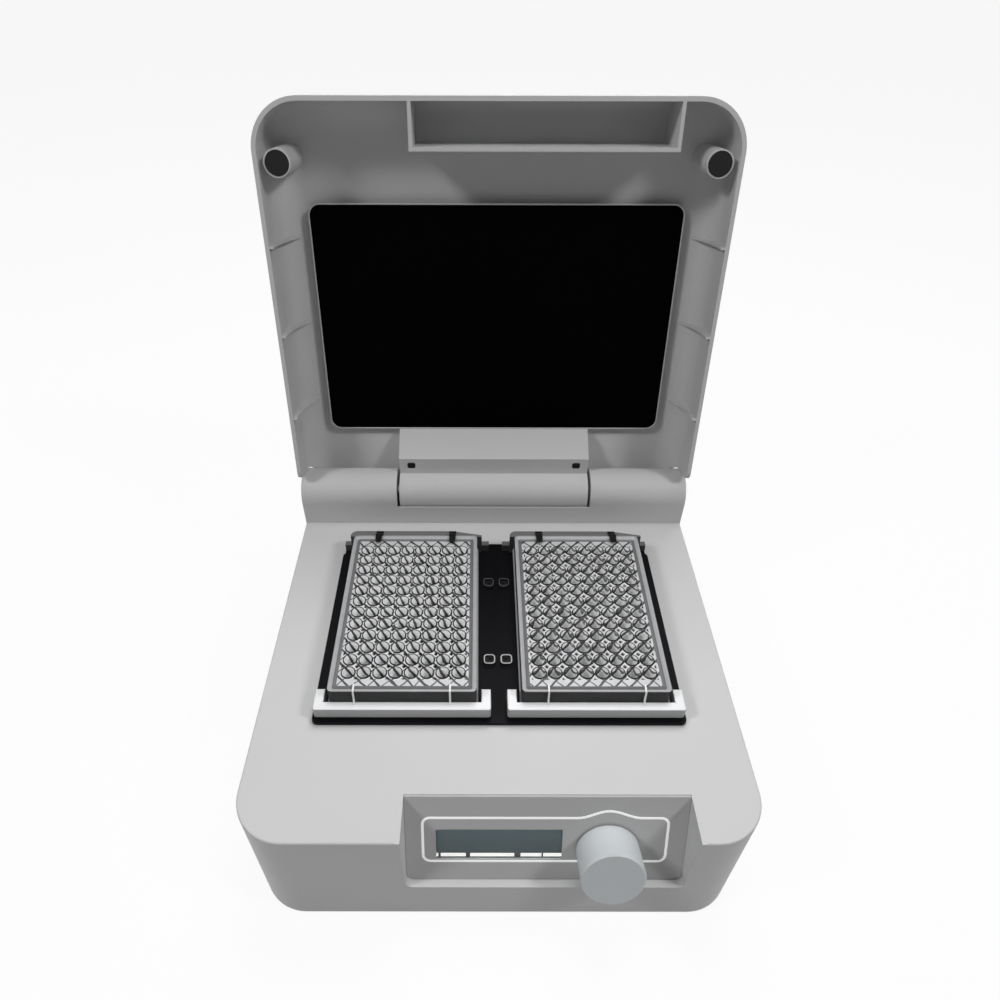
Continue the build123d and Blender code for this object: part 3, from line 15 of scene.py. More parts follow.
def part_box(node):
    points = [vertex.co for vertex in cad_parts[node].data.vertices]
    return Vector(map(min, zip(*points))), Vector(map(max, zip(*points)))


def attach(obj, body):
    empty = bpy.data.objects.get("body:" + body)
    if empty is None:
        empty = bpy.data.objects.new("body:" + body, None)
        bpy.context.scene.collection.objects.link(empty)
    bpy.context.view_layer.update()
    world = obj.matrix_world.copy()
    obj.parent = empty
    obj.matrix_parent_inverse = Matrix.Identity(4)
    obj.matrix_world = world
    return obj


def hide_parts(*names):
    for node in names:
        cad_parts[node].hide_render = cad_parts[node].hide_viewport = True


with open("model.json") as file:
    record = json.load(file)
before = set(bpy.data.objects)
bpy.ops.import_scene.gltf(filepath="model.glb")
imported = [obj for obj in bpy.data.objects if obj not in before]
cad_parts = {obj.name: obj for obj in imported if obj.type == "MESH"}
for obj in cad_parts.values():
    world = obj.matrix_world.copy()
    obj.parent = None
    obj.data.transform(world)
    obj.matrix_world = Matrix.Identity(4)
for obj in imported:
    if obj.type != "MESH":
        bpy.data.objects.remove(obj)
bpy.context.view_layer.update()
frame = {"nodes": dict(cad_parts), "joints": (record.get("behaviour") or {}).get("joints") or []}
NODES = frame["nodes"]
JOINTS = {joint["name"]: joint for joint in frame["joints"]}

bl_info = {
    "name": "Thermal Mixer Looks",
    "version": (1, 0, 0),
    "blender": (4, 5, 0),
    "location": "View3D > Sidebar > Thermal Mixer",
    "description": "Finishes, clear plates, panel print and stage for a bench-top thermal mixer",
    "category": "Object",
}


def corners(node):
    """Lowest and highest corner of a CAD node at rest, as arrays."""
    low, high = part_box(node)
    return np.array(low), np.array(high)


# ------------------------------------------------------------------ properties
def length(name, text, default):
    """A length property in metres."""
    return bpy.props.FloatProperty(name=name, description=text, default=default, min=0.0,
                                   unit="LENGTH", subtype="DISTANCE", precision=5)


def tint(name, text, default):
    """A linear colour property."""
    return bpy.props.FloatVectorProperty(name=name, description=text, default=default,
                                         size=3, min=0.0, max=1.0, subtype="COLOR")


def share(name, text, default, top=1.0):
    """A plain number from nought to top."""
    return bpy.props.FloatProperty(name=name, description=text, default=default, min=0.0,
                                   max=top, subtype="FACTOR")


class FinishSettings(bpy.types.PropertyGroup):
    """Colours and grain of the finishes."""
    housing: tint("Housing", "Moulded white of the base, lid and hinge arm", (0.615, 0.62, 0.615))
    stop: tint("Stops", "Grey of the rear stops", (0.165, 0.165, 0.165))
    panel: tint("Panel", "Grey film of the control panel", (0.53, 0.53, 0.53))
    knob: tint("Knob", "Moulded grey of the control knob", (0.62, 0.65, 0.665))
    rail: tint("Rails", "Coat of the clamp rails", (0.87, 0.88, 0.89))
    black: tint("Platform", "Black anodised platform", (0.0060, 0.0060, 0.0075))
    heater: tint("Heater", "Black face of the lid heater", (0.0008, 0.0004, 0.0009))
    rubber: tint("Rubber", "Bumpers and feet", (0.006, 0.006, 0.006))
    display: tint("Display", "Unlit liquid crystal", (0.125, 0.165, 0.180))
    grain: length("Grain", "Height of the moulded grain", 0.00003)


class PlateSettings(bpy.types.PropertyGroup):
    """Sizes and colours of the two clear plates."""
    pitch: length("Well pitch", "Distance between neighbouring wells", 0.009)
    radius: length("Well radius", "Inside radius at the mouth", 0.0036)
    depth: length("Well depth", "Mouth to bottom", 0.0107)
    taper: length("Taper", "How much narrower the bottom is, in radius", 0.00025)
    wall: length("Wall", "Thickness of the clear walls", 0.0008)
    lip: length("Lip", "Width of the polished lip round each mouth", 0.00070)
    cell: tint("Wells", "Frosted plastic of the wells", (0.96, 0.97, 0.99))
    margin: tint("Margin", "Clear margin over the dark platform", (0.20, 0.20, 0.205))


class PrintSettings(bpy.types.PropertyGroup):
    """The frame printed on the control panel."""
    line: length("Line", "Width of the printed line", 0.00145)
    lift: length("Ink", "Height of the ink on the film", 0.00006)
    corner: length("Corner", "Corner radius of the printed frame", 0.004)
    white: tint("Ink colour", "Printed white", (0.93, 0.93, 0.93))


class TrimSettings(bpy.types.PropertyGroup):
    """Small trim: leaf springs, clips, rings and the bead."""
    leaf_apart: length("Leaf spacing", "From a plate's middle to each leaf spring", 0.027)
    leaf_width: length("Leaf width", "Width of a leaf spring", 0.0011)
    clip_apart: length("Clip spacing", "From a plate's middle to each rear clip", 0.025)
    clip_width: length("Clip width", "Width of a rear clip", 0.0048)
    sheet: length("Sheet", "Thickness of leaves and clips", 0.0004)
    ring: length("Ring", "Half the width of the ring round a platform screw", 0.0031)
    bead: length("Bead", "Width of the bead round the lid heater", 0.0011)
    heater_corner: length("Heater corner", "Corner radius of the lid heater", 0.007)


class StageSettings(bpy.types.PropertyGroup):
    """Light and floor."""
    fill: share("Fill", "Strength of the even light", 0.09, 5.0)
    key: share("Key", "Power of the lamp above and behind the lid, in watts", 7.4, 500.0)
    sides: share("Sides", "Power of each lamp at the sides, in watts", 9.6, 500.0)
    floor: tint("Floor", "Colour of the floor", (0.46, 0.46, 0.46))


# ------------------------------------------------------------------ shader expressions
class Value:
    """A node socket that takes part in arithmetic: each operator adds a Math node."""

    def __init__(self, board, socket):
        self.board, self.socket = board, socket

    def math(self, operation, *others):
        return self.board.node("ShaderNodeMath", {"operation": operation}, (self,) + others)

    def __add__(self, other): return self.math("ADD", other)
    def __radd__(self, other): return self.math("ADD", other)
    def __sub__(self, other): return self.math("SUBTRACT", other)
    def __mul__(self, other): return self.math("MULTIPLY", other)
    def __rmul__(self, other): return self.math("MULTIPLY", other)
    def __lt__(self, other): return self.math("LESS_THAN", other)
    def __gt__(self, other): return self.math("GREATER_THAN", other)

    def __rsub__(self, other):
        return self.board.node("ShaderNodeMath", {"operation": "SUBTRACT"}, (other, self))


class Board:
    """The node tree of one material or of the world."""

    def __init__(self, owner):
        owner.use_nodes = True
        self.tree = owner.node_tree
        self.tree.nodes.clear()

    def node(self, kind, settings=None, sockets=(), output=0):
        """Adds a node: settings first, then values or links by socket name or position."""
        made = self.tree.nodes.new(kind)
        for key, value in (settings or {}).items():
            setattr(made, key, value)
        pairs = sockets.items() if isinstance(sockets, dict) else enumerate(sockets)
        for key, value in pairs:
            socket = made.inputs[key]
            if isinstance(value, Value):
                self.tree.links.new(value.socket, socket)
            elif socket.type == "RGBA" and len(value) == 3:
                socket.default_value = (*value, 1.0)
            else:
                socket.default_value = value
        return Value(self, made.outputs[output])

    def place(self, stretch):
        """Object coordinates, stretched per axis."""
        spot = self.node("ShaderNodeTexCoord", output="Object")
        return self.node("ShaderNodeMapping", {"vector_type": "POINT"},
                         {"Vector": spot, "Scale": stretch})

    def noise(self, scale, detail=2.0, rough=0.5, stretch=(1.0, 1.0, 1.0)):
        """Noise from 0 to 1 on object coordinates; scale is in features per metre."""
        return self.node("ShaderNodeTexNoise", {}, {"Vector": self.place(stretch), "Scale": scale,
                                                    "Detail": detail, "Roughness": rough})

    def mix(self, factor, low, high):
        """Colour mix of low and high."""
        return self.node("ShaderNodeMix", {"data_type": "RGBA"},
                         {"Factor": factor, 6: low, 7: high}, output=2)

    def vary(self, mask, colour, dark, light):
        """The colour, times `dark` where the mask is 0 and times `light` where it is 1."""
        return self.mix(mask, shade(colour, dark), shade(colour, light))

    def around(self, mask, middle, spread):
        """A number that strays with the mask by half the spread to each side of its middle."""
        return middle - spread / 2 + spread * mask

    def axis(self, source, letter):
        """One part of a Texture Coordinate output, as a number."""
        spot = self.node("ShaderNodeTexCoord", output=source)
        return self.node("ShaderNodeSeparateXYZ", {}, {0: spot}, output=letter)

    def upward(self):
        """How far a face looks up: 1 on a level top, 0 on an upright side."""
        return self.axis("Normal", "Z")

    def bump(self, height, distance):
        """Normals of a relief that is `distance` metres high where `height` is 1."""
        return self.node("ShaderNodeBump", {},
                         {"Height": height, "Distance": distance, "Strength": 1.0})

    def shown(self):
        """1 where a ray comes from the camera, from gloss or through glass, and 0 for plain light."""
        path = self.tree.nodes.new("ShaderNodeLightPath")
        camera, glossy, through = (Value(self, path.outputs[name]) for name in
                                   ("Is Camera Ray", "Is Glossy Ray", "Is Transmission Ray"))
        return camera.math("MAXIMUM", glossy.math("MAXIMUM", through))

    def surface(self, **sockets):
        """Principled surface; underscores in the names stand for spaces."""
        named = {key.replace("_", " "): value for key, value in sockets.items()}
        self.tree.nodes.new("ShaderNodeOutputMaterial")
        shader = self.node("ShaderNodeBsdfPrincipled", {}, named, output="BSDF")
        self.tree.links.new(shader.socket, self.tree.nodes["Material Output"].inputs["Surface"])


def finish(name):
    """A new named material and its board."""
    made = bpy.data.materials.get(name) or bpy.data.materials.new(name)
    return made, Board(made)


def shade(colour, factor):
    """A colour made lighter or darker."""
    return tuple(min(1.0, part * factor) for part in colour[:3])


def moulded(name, colour, grain, rough=0.5, level=0.35, painted_shade_share=1.0):
    """Moulded plastic: a fine eroded grain, soft cloudiness and uneven sheen.

    The last argument is the share of the colour left on steep faces, a painted shade on the faces that
    look up less.
    """
    made, board = finish(name)
    fine = board.noise(2600.0, 3.0, 0.6)
    cloud = board.noise(14.0, 3.0, 0.55)
    smear = board.noise(55.0, 4.0, 0.6)
    dark, light = 0.965, 1.03
    tone = board.vary(cloud, colour, dark, light)
    if painted_shade_share < 1.0:
        level_from = 0.6                                 # faces that look up less are steep and take painted shade
        # painted shade: steep faces get a darker copy of the colour
        steep = board.vary(cloud, colour, dark * painted_shade_share, light * painted_shade_share)
        tone = board.mix(board.upward() > level_from, steep, tone)
    board.surface(Base_Color=tone, Roughness=board.around(smear, rough, 0.10),
                  Specular_IOR_Level=level, Normal=board.bump(fine, grain))
    return made


def coated_metal(name, colour, rough, metallic, grain, level=0.5):
    """Anodised or painted metal: tiny bead-blast pits and faint handling marks."""
    made, board = finish(name)
    pits = board.noise(3800.0, 2.0, 0.5)
    marks = board.noise(30.0, 5.0, 0.65, (1.0, 0.35, 1.0))
    board.surface(Base_Color=board.vary(marks, colour, 0.85, 1.18),
                  Roughness=board.around(marks, rough, 0.12),
                  Metallic=metallic, Specular_IOR_Level=level, Normal=board.bump(pits, grain))
    return made


def turned_steel(name, colour):
    """Turned steel: close rings of tool marks around each axis."""
    made, board = finish(name)
    lines = board.noise(900.0, 2.0, 0.5, (1.0, 1.0, 6.0))
    haze = board.noise(60.0, 3.0)
    board.surface(Base_Color=board.vary(haze, colour, 0.9, 1.08),
                  Roughness=board.around(lines, 0.28, 0.10), Metallic=1.0,
                  Normal=board.bump(lines, 0.00002))
    return made


def rubber(name, colour):
    """Rubber: matt, faintly bloomed, with a pebbled skin."""
    made, board = finish(name)
    pebble = board.noise(1800.0, 2.0, 0.6)
    bloom = board.noise(70.0, 4.0, 0.6)
    board.surface(Base_Color=board.vary(bloom, colour, 1.0, 1.9),
                  Roughness=board.around(bloom, 0.78, 0.12), Specular_IOR_Level=0.25,
                  Normal=board.bump(pebble, 0.00004))
    return made


def clear_plastic(name, colour, cover, rough, level=0.6, painted_refraction_pitch=0.0):
    """Clear or frosted plastic: `cover` is how much it hides of what lies behind it.

    The last argument is the pitch of dark lines along both diagonals, painted refraction of the walls of
    the wells. A line lies where (|x| + y + 0.4 z) / pitch or (|x| - y - 0.4 z) / pitch, waved by noise,
    is half more than a whole number.
    """
    made, board = finish(name)
    haze = board.noise(140.0, 4.0, 0.6)
    tone = board.vary(haze, colour, 0.88, 1.08)
    if painted_refraction_pitch > 0.0:
        wave = 0.55 * board.noise(95.0, 2.0, 0.5)
        aside = board.axis("Object", "X").math("ABSOLUTE")
        along = board.axis("Object", "Y") + 0.4 * board.axis("Object", "Z")
        lines = None
        for way, width in ((-1.0, 0.105), (1.0, 0.055)):  # half widths of the painted refraction lines, in pitches
            stripe = ((aside + along * way) * (1.0 / painted_refraction_pitch) + wave).math("FRACT")
            line = (stripe - 0.5).math("ABSOLUTE") < width
            lines = line if lines is None else lines.math("MAXIMUM", line)
        # painted refraction: the dark lines stand in for the well walls seen bent through the clear
        # plastic
        tone = board.mix(lines, tone, shade(colour, 0.05))
    board.surface(Base_Color=tone, Roughness=board.around(haze, rough + 0.05, 0.10),
                  Specular_IOR_Level=level, Alpha=board.around(haze, cover, 0.10))
    return made


def dress(node, material):
    """Gives a CAD node its material."""
    mesh = NODES[node].data
    mesh.materials.clear()
    mesh.materials.append(material)


# ------------------------------------------------------------------ surfaces from arrays
def piece(name, points, faces, materials, body, zones=None, smooth=True):
    """A mesh object at the origin from points and faces; zones gives each face its material."""
    mesh = bpy.data.meshes.new(name)
    mesh.from_pydata(np.asarray(points).tolist(), [], [tuple(face) for face in faces])
    mesh.polygons.foreach_set("use_smooth", np.full(len(mesh.polygons), smooth))
    for material in materials:
        mesh.materials.append(material)
    if zones is not None:
        mesh.polygons.foreach_set("material_index", np.asarray(zones, dtype=np.int32))
    made = bpy.data.objects.new(name, mesh)
    bpy.context.scene.collection.objects.link(made)
    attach(made, body)
    return made


def grid_faces(rows, columns, close_rows=False, close_columns=False, start=0):
    """Quads of a grid of points in row order; closing joins the last row or column to the first."""
    row = np.arange(rows if close_rows else rows - 1)
    column = np.arange(columns if close_columns else columns - 1)
    r, c = np.meshgrid(row, column, indexing="ij")
    r2, c2 = (r + 1) % rows, (c + 1) % columns
    quads = np.stack([r * columns + c, r * columns + c2, r2 * columns + c2, r2 * columns + c], -1)
    return quads.reshape(-1, 4) + start


def rounded_loop(half_x, half_y, radius, steps=6):
    """Closed rounded rectangle about the origin, anticlockwise: four quarter circles of `steps` parts."""
    turn = np.linspace(0.0, math.pi / 2, steps + 1)
    loops = []
    for quarter, (sx, sy) in enumerate(((1, 1), (-1, 1), (-1, -1), (1, -1))):
        angle = turn + quarter * math.pi / 2
        loops.append(np.stack([sx * (half_x - radius) + radius * np.cos(angle),
                               sy * (half_y - radius) + radius * np.sin(angle)], -1))
    return np.concatenate(loops)


def outward(loop):
    """Unit vectors across a closed loop in its plane: out of it where it runs anticlockwise."""
    ahead = np.roll(loop, -1, 0) - np.roll(loop, 1, 0)
    ahead /= np.linalg.norm(ahead, axis=1)[:, None]
    return np.stack([ahead[:, 1], -ahead[:, 0]], -1)


def weld(made, distance=1e-6):
    """Merges coincident points and turns the faces outwards."""
    work = bmesh.new()
    work.from_mesh(made.data)
    bmesh.ops.remove_doubles(work, verts=work.verts, dist=distance)
    bmesh.ops.recalc_face_normals(work, faces=work.faces)
    work.to_mesh(made.data)
    work.free()


# ------------------------------------------------------------------ operators
class MIXER_OT_finishes(bpy.types.Operator):
    """Give the listed CAD nodes their finishes"""
    bl_idname = "mixer.finishes"
    bl_label = "Finishes"

    def execute(self, context):
        look = context.scene.mixer_finish
        white = moulded("housing_white", look.housing, look.grain)
        panel = moulded("panel_film", look.panel, look.grain * 0.5, 0.45)
        knob = moulded("knob_grey", look.knob, look.grain * 0.7, 0.42)
        # the rails and the stops are darker on their steep faces by painted shade
        rail = moulded("rail_coat", look.rail, look.grain * 0.3, 0.32, 0.5, painted_shade_share=0.50)
        stop = moulded("stop_grey", look.stop, look.grain * 0.5, 0.35, 0.3, painted_shade_share=0.55)
        black = coated_metal("platform_black", look.black, 0.42, 0.0, 0.00001, 0.05)
        heater = coated_metal("heater_face", look.heater, 0.40, 0.0, 0.000004, 0.01)
        alloy = coated_metal("chassis_alloy", (0.50, 0.51, 0.52), 0.38, 1.0, 0.00001)
        brass = coated_metal("weight_brass", (0.58, 0.42, 0.16), 0.3, 1.0, 0.00001)
        steel = turned_steel("turned_steel", (0.52, 0.52, 0.53))
        oxide = coated_metal("black_oxide", (0.004, 0.004, 0.004), 0.5, 0.0, 0.00001, 0.2)
        soft = rubber("rubber_black", look.rubber)
        inlet = moulded("inlet_black", (0.012, 0.012, 0.012), look.grain, 0.4)
        mat = moulded("heater_mat", (0.50, 0.17, 0.02), look.grain * 0.3, 0.3)
        board_green = moulded("board_green", (0.02, 0.12, 0.05), look.grain * 0.3, 0.3)
        finishes = {
            white: ("base_housing", "base_plate", "lid_shell", "hinge_arm"),
            panel: ("control_panel",), knob: ("control_knob",),
            rail: ("clamp_rail_left", "clamp_rail_right"), stop: ("rear_stops",),
            black: ("platform_plate",), heater: ("lid_heater",),
            alloy: ("orbit_carrier", "chassis_plate", "chassis_pillars"),
            brass: ("counterweight",),
            steel: ("base_screws", "encoder_body", "encoder_nut", "encoder_shaft",
                    "clamp_springs_left", "clamp_springs_right", "chassis_bearings", "carrier_bearings",
                    "drive_motor", "motor_screws", "crank_shaft", "idler_crank_1", "idler_crank_2",
                    "idler_crank_3", "inlet_screws", "hinge_shaft", "hinge_bushes"),
            oxide: ("arm_screws", "platform_screws"), soft: ("rubber_feet", "lid_bumpers"),
            inlet: ("power_inlet", "switch_body", "switch_rocker", "encoder_plunger"),
            mat: ("heater_mats",), board_green: ("circuit_board",),
        }
        for material, nodes in finishes.items():
            for node in nodes:
                dress(node, material)
        return {"FINISHED"}


class MIXER_OT_display(bpy.types.Operator):
    """Finish the display: dark crystal above, darker towards its foot by painted shade, a bright strip
    below that glows as painted light, clear window in front
    """
    bl_idname = "mixer.display"
    bl_label = "Display"

    def execute(self, context):
        look = context.scene.mixer_finish
        low, high = corners("display_window")
        strip_foot, strip_top = 0.025, 0.145             # glowing strip, in window heights; its glow is painted light
        contact_from = 0.60                              # noise above this is a dark contact
        made, board = finish("display_crystal")
        height = (board.axis("Object", "Z") - float(low[2])) * float(1.0 / (high[2] - low[2]))
        # painted shade: the crystal is darker towards its foot and lighter towards its top
        crystal = board.vary(height, look.display, 0.76, 1.32)
        contact = board.noise(150.0, 1.0, 0.5, (1.0, 0.0, 0.0)) > contact_from
        edge = board.mix(contact, (0.86, 0.86, 0.85), (0.10, 0.10, 0.10))
        glowing_strip = (1.0 - (height > strip_top)) * (height > strip_foot)
        # painted light: the bright strip glows, except at its dark contacts
        glow = board.mix(glowing_strip * (1.0 - contact), (0.0, 0.0, 0.0), (1.0, 1.0, 0.98))
        board.surface(Base_Color=board.mix(glowing_strip, crystal, edge),
                      Roughness=board.around(board.noise(80.0), 0.35, 0.10),
                      Specular_IOR_Level=0.3, Emission_Color=glow, Emission_Strength=0.40)
        dress("display_module", made)
        made, board = finish("window_clear")
        board.surface(Base_Color=(0.95, 0.97, 0.97),
                      Roughness=board.around(board.noise(90.0, 4.0), 0.105, 0.05),
                      Transmission_Weight=1.0, IOR=1.2, Specular_IOR_Level=0.2)
        dress("display_window", made)
        return {"FINISHED"}


def frame_line(radius, middle):
    """Closed line of the printed frame, as pairs of x and vertical distance below the deck.

    Quarter circles (cx + r cos a, cy - r sin a) join straight sides. The upper side rises over the
    knob, y = top - (top - crest) (1 - cos(pi s)) / 2, with s from 0 at an end of the rise to 1
    above the knob's axis, which lies at x = middle.
    """
    left, right, top, foot = -0.0405, 0.0905, 0.0130, 0.0402
    crest, crest_left, crest_right = 0.0088, 0.0420, 0.0765

    def quarter(cx, cy, start):
        angle = np.linspace(0.0, math.pi / 2, 7) + start
        return np.stack([cx + radius * np.cos(angle), cy - radius * np.sin(angle)], -1)

    x = np.linspace(crest_right, crest_left, 25)
    side = np.where(x > middle, (crest_right - x) / (crest_right - middle),
                    (x - crest_left) / (middle - crest_left))
    rise = (top - crest) * (0.5 - 0.5 * np.cos(math.pi * np.clip(side, 0, 1)))
    return np.concatenate([
        quarter(right - radius, foot - radius, -math.pi / 2),
        quarter(right - radius, top + radius, 0.0),
        np.stack([x, top - rise], -1),
        quarter(left + radius, top + radius, math.pi / 2),
        quarter(left + radius, foot - radius, math.pi),
    ])


class MIXER_OT_panel_print(bpy.types.Operator):
    """Lay the printed frame around the display and the knob"""
    bl_idname = "mixer.panel_print"
    bl_label = "Panel Print"

    def execute(self, context):
        ink = context.scene.mixer_print
        knob = np.array(JOINTS["knob_turn"]["pos_m"])
        out = np.array(JOINTS["knob_turn"]["axis"])
        up = np.cross(out, (1.0, 0.0, 0.0))
        slope = 1.0 / up[2]
        drop = 0.0323                                    # deck to the knob's axis
        clear = 0.00001                                  # foot of the ink above the film

        # a flat band with a rounded section: offsets across the line, heights above the film
        path = frame_line(ink.corner, knob[0])
        offsets = np.array([-0.5, -0.42, 0.42, 0.5]) * ink.line
        heights = np.array([0.0, 1.0, 1.0, 0.0]) * ink.lift + clear
        flat = path[:, None, :] + outward(path)[:, None, :] * offsets[None, :, None]
        spots = (knob + (flat[..., 0:1] - knob[0]) * np.array((1.0, 0.0, 0.0))
                 + (drop - flat[..., 1:2]) * slope * up + heights[None, :, None] * out)
        made, board = finish("print_white")
        board.surface(Base_Color=board.vary(board.noise(220.0, 4.0), ink.white, 0.94, 1.0),
                      Roughness=board.around(board.noise(400.0), 0.45, 0.10),
                      Specular_IOR_Level=0.3,
                      # the ink glows a little: painted light that lightens the print
                      Emission_Color=(1.0, 1.0, 1.0), Emission_Strength=0.32)
        band = piece("panel_print", spots.reshape(-1, 3),
                     grid_faces(len(path), 4, close_rows=True, close_columns=True).tolist(),
                     [made], "base")
        weld(band)
        return {"FINISHED"}


class MIXER_OT_plates(bpy.types.Operator):
    """Mould the two clear plates: skirt, margin, lips and frosted wells"""
    bl_idname = "mixer.plates"
    bl_label = "Plates"

    def execute(self, context):
        plate = context.scene.mixer_plate
        materials = (
            # the wells and the frosted border carry the painted refraction lines
            clear_plastic("well_frosted", plate.cell, 0.72, 0.30, painted_refraction_pitch=plate.pitch),
            # the lips are near black: painted dark refraction of the clear rims over the dark platform
            clear_plastic("lip_painted_dark", shade(plate.cell, 0.010), 0.92, 0.30, level=0.12),
            clear_plastic("margin_clear", plate.margin, 0.80, 0.20, level=0.3),
            clear_plastic("skirt_clear", shade(plate.cell, 0.06), 0.55, 0.25, level=0.15),
            clear_plastic("edge_bright", shade(plate.cell, 0.50), 0.90, 0.20, level=0.5),
            clear_plastic("margin_frosted", shade(plate.cell, 0.80), 0.80, 0.30, painted_refraction_pitch=plate.pitch),
        )
        for side in ("left", "right"):
            node = "microplate_" + side
            low, high = corners(node)
            points, faces, zones = clear_plate(plate, low, high)
            tray = piece("clear_plate_" + side, points, faces, materials, "platform",
                         zones)
            weld(tray, 2e-5)
            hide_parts(node)
        return {"FINISHED"}


def clear_plate(plate, low, high):
    """Points, faces and zones of one plate's closed shell.

    A well is a stack of rings about its centre: a square cell of the deck, the lip, the wall that
    narrows down to the bottom, and the same again outside it, one wall thickness further out. The
    rest is a profile of insets and heights carried round a rounded rectangle: margin, rim, skirt
    and flange. Zones: 0 wells and deck, 1 lips, 2 margin, 3 skirt, 4 bright edges, 5 frosted border.
    """
    centre, half = (low + high) / 2, (high - low) / 2
    top, floor = high[2], low[2]
    segments = 16
    angle = (np.arange(segments) + 0.5) * 2 * math.pi / segments
    ring = np.stack([np.cos(angle), np.sin(angle)], -1)
    square = ring / np.abs(ring).max(1)[:, None] * (plate.pitch / 2)
    across, along = np.meshgrid(np.arange(8) - 3.5, np.arange(12) - 5.5, indexing="ij")
    wells = centre[:2] + np.stack([across.ravel(), along.ravel()], -1) * plate.pitch
    deck = top - 0.0012                                  # below the plate's rim
    rise = 0.0005                                        # lip above the deck
    ease = 0.0006                                        # rounding of the well's foot
    draft = 0.0001                                       # lean of the lip's side
    r, foot, t = plate.radius, plate.radius - plate.taper, plate.wall
    bottom = deck - plate.depth
    levels = [
        (square, deck), (ring * (r + plate.lip), deck),
        (ring * (r + plate.lip - draft), deck + rise), (ring * r, deck + rise),
        (ring * foot, bottom + ease), (ring * (foot - ease), bottom),
        (ring * (foot - ease), bottom - t), (ring * (foot + t - ease / 2), bottom - t / 2),
        (ring * (r + t), deck - t), (square, deck - t),
    ]
    bands = np.array([0, 1, 1, 0, 0, 0, 0, 0, 0])        # zone of the band below each level
    stack = np.stack([np.concatenate([shape, np.full((segments, 1), z)], 1) for shape, z in levels])
    many = np.repeat(stack[None], len(wells), 0)
    many[..., :2] += wells[:, None, None, :]
    size = len(levels) * segments
    step = np.arange(len(wells)) * size
    # the bands of rings; the inner and the outer bottom are closed by a face each
    quads = grid_faces(len(levels), segments, close_columns=True)
    inner, outer = 5, 6                                  # levels of the two bottoms
    kept = np.arange(len(quads)) // segments != inner
    quads, zones = quads[kept], np.repeat(bands, segments)[kept]
    faces = (quads[None] + step[:, None, None]).reshape(-1, 4).tolist()
    zones = np.tile(zones, len(wells)).tolist()
    around = np.arange(segments)
    for row, order in ((inner, around), (outer, around[::-1])):
        faces += (row * segments + order[None] + step[:, None]).tolist()
        zones += [0] * len(wells)

    # margin, rim, skirt and flange
    steps = 5
    field = np.array([4 * plate.pitch, 6 * plate.pitch])
    flange = 0.0009                                      # body inside the flange
    lift = 0.0025                                        # height of the flange

    def loop(inset, z, radius):
        flat = rounded_loop(half[0] - inset, half[1] - inset, radius, steps)
        return np.concatenate([flat + centre[:2], np.full((len(flat), 1), z)], 1)

    def edge_of_wells(z):
        """As many points round the block of wells, on its square outline."""
        flat = rounded_loop(half[0], half[1], 0.002, steps)
        flat = flat / np.maximum(np.abs(flat[:, 0]) / field[0], np.abs(flat[:, 1]) / field[1])[:, None]
        return np.concatenate([flat + centre[:2], np.full((len(flat), 1), z)], 1)

    profile = [edge_of_wells(deck)] + [loop(*row) for row in (
        (flange + 0.0046, deck, 0.0012),                 # end of the frosted border
        (flange + 0.0024, deck, 0.0014),                 # end of the margin
        (flange + 0.0014, top, 0.0018),                  # rim, inner edge
        (flange, top, 0.0025),                           # rim, outer edge
        (flange, floor + lift, 0.0025),                  # foot of the skirt
        (0, floor + lift - 0.0002, 0.003),               # flange, upper edge
        (0, floor, 0.003),                               # flange, lower edge
        (t, floor, 0.0022),                              # from here on the inside, back up
        (t, floor + lift - t, 0.0022),
        (flange + t, floor + lift - t + 0.0004, 0.002),
        (flange + t, deck - t, 0.0018),
    )] + [edge_of_wells(deck - t)]
    rim_zones = np.array([5, 2, 4, 4, 3, 4, 3, 4, 3, 3, 3, 2])
    rings = np.stack(profile)
    faces += grid_faces(len(profile), rings.shape[1], close_columns=True,
                        start=len(wells) * size).tolist()
    zones += np.repeat(rim_zones, rings.shape[1]).tolist()
    return np.concatenate([many.reshape(-1, 3), rings.reshape(-1, 3)]), faces, zones


def rounded_line(corners_of_line, rounds=3):
    """Corner cutting: each span is replaced by its points at a quarter and three quarters."""
    line = np.asarray(corners_of_line, dtype=float)
    for _ in range(rounds):
        near, far = line[:-1], line[1:]
        cut = np.stack([0.75 * near + 0.25 * far, 0.25 * near + 0.75 * far], 1).reshape(-1, line.shape[1])
        line = np.concatenate([line[:1], cut, line[-1:]])
    return line


def leaf(middle, line, width, thick):
    """A bent strip: a rectangle of width by thickness carried along a line of (y, z) points.

    The width narrows to its tip as width (1 - 0.35 s^3), with s from 0 to 1 along the line.
    """
    line = rounded_line(line)
    ahead = np.gradient(line, axis=0)
    ahead /= np.linalg.norm(ahead, axis=1)[:, None]
    across = np.stack([-ahead[:, 1], ahead[:, 0]], -1) * thick / 2
    taper = width / 2 * (1.0 - 0.35 * np.linspace(0.0, 1.0, len(line)) ** 3)
    columns = []
    for side, over in ((-1, 1), (1, 1), (1, -1), (-1, -1)):
        columns.append(np.concatenate([(middle + side * taper)[:, None], line + over * across], 1))
    return np.stack(columns, 1).reshape(-1, 3)


def leaves(name, middles, line, width, thick, material, body):
    """Several like strips, each closed by a face at both ends, in one mesh."""
    made = [leaf(middle, line, width, thick) for middle in middles]
    size = len(made[0])
    one = grid_faces(size // 4, 4, close_columns=True).tolist()
    one += [(3, 2, 1, 0), tuple(range(size - 4, size))]
    faces = [tuple(corner + k * size for corner in face) for k in range(len(made)) for face in one]
    weld(piece(name, np.concatenate(made), faces, [material], body, smooth=False))


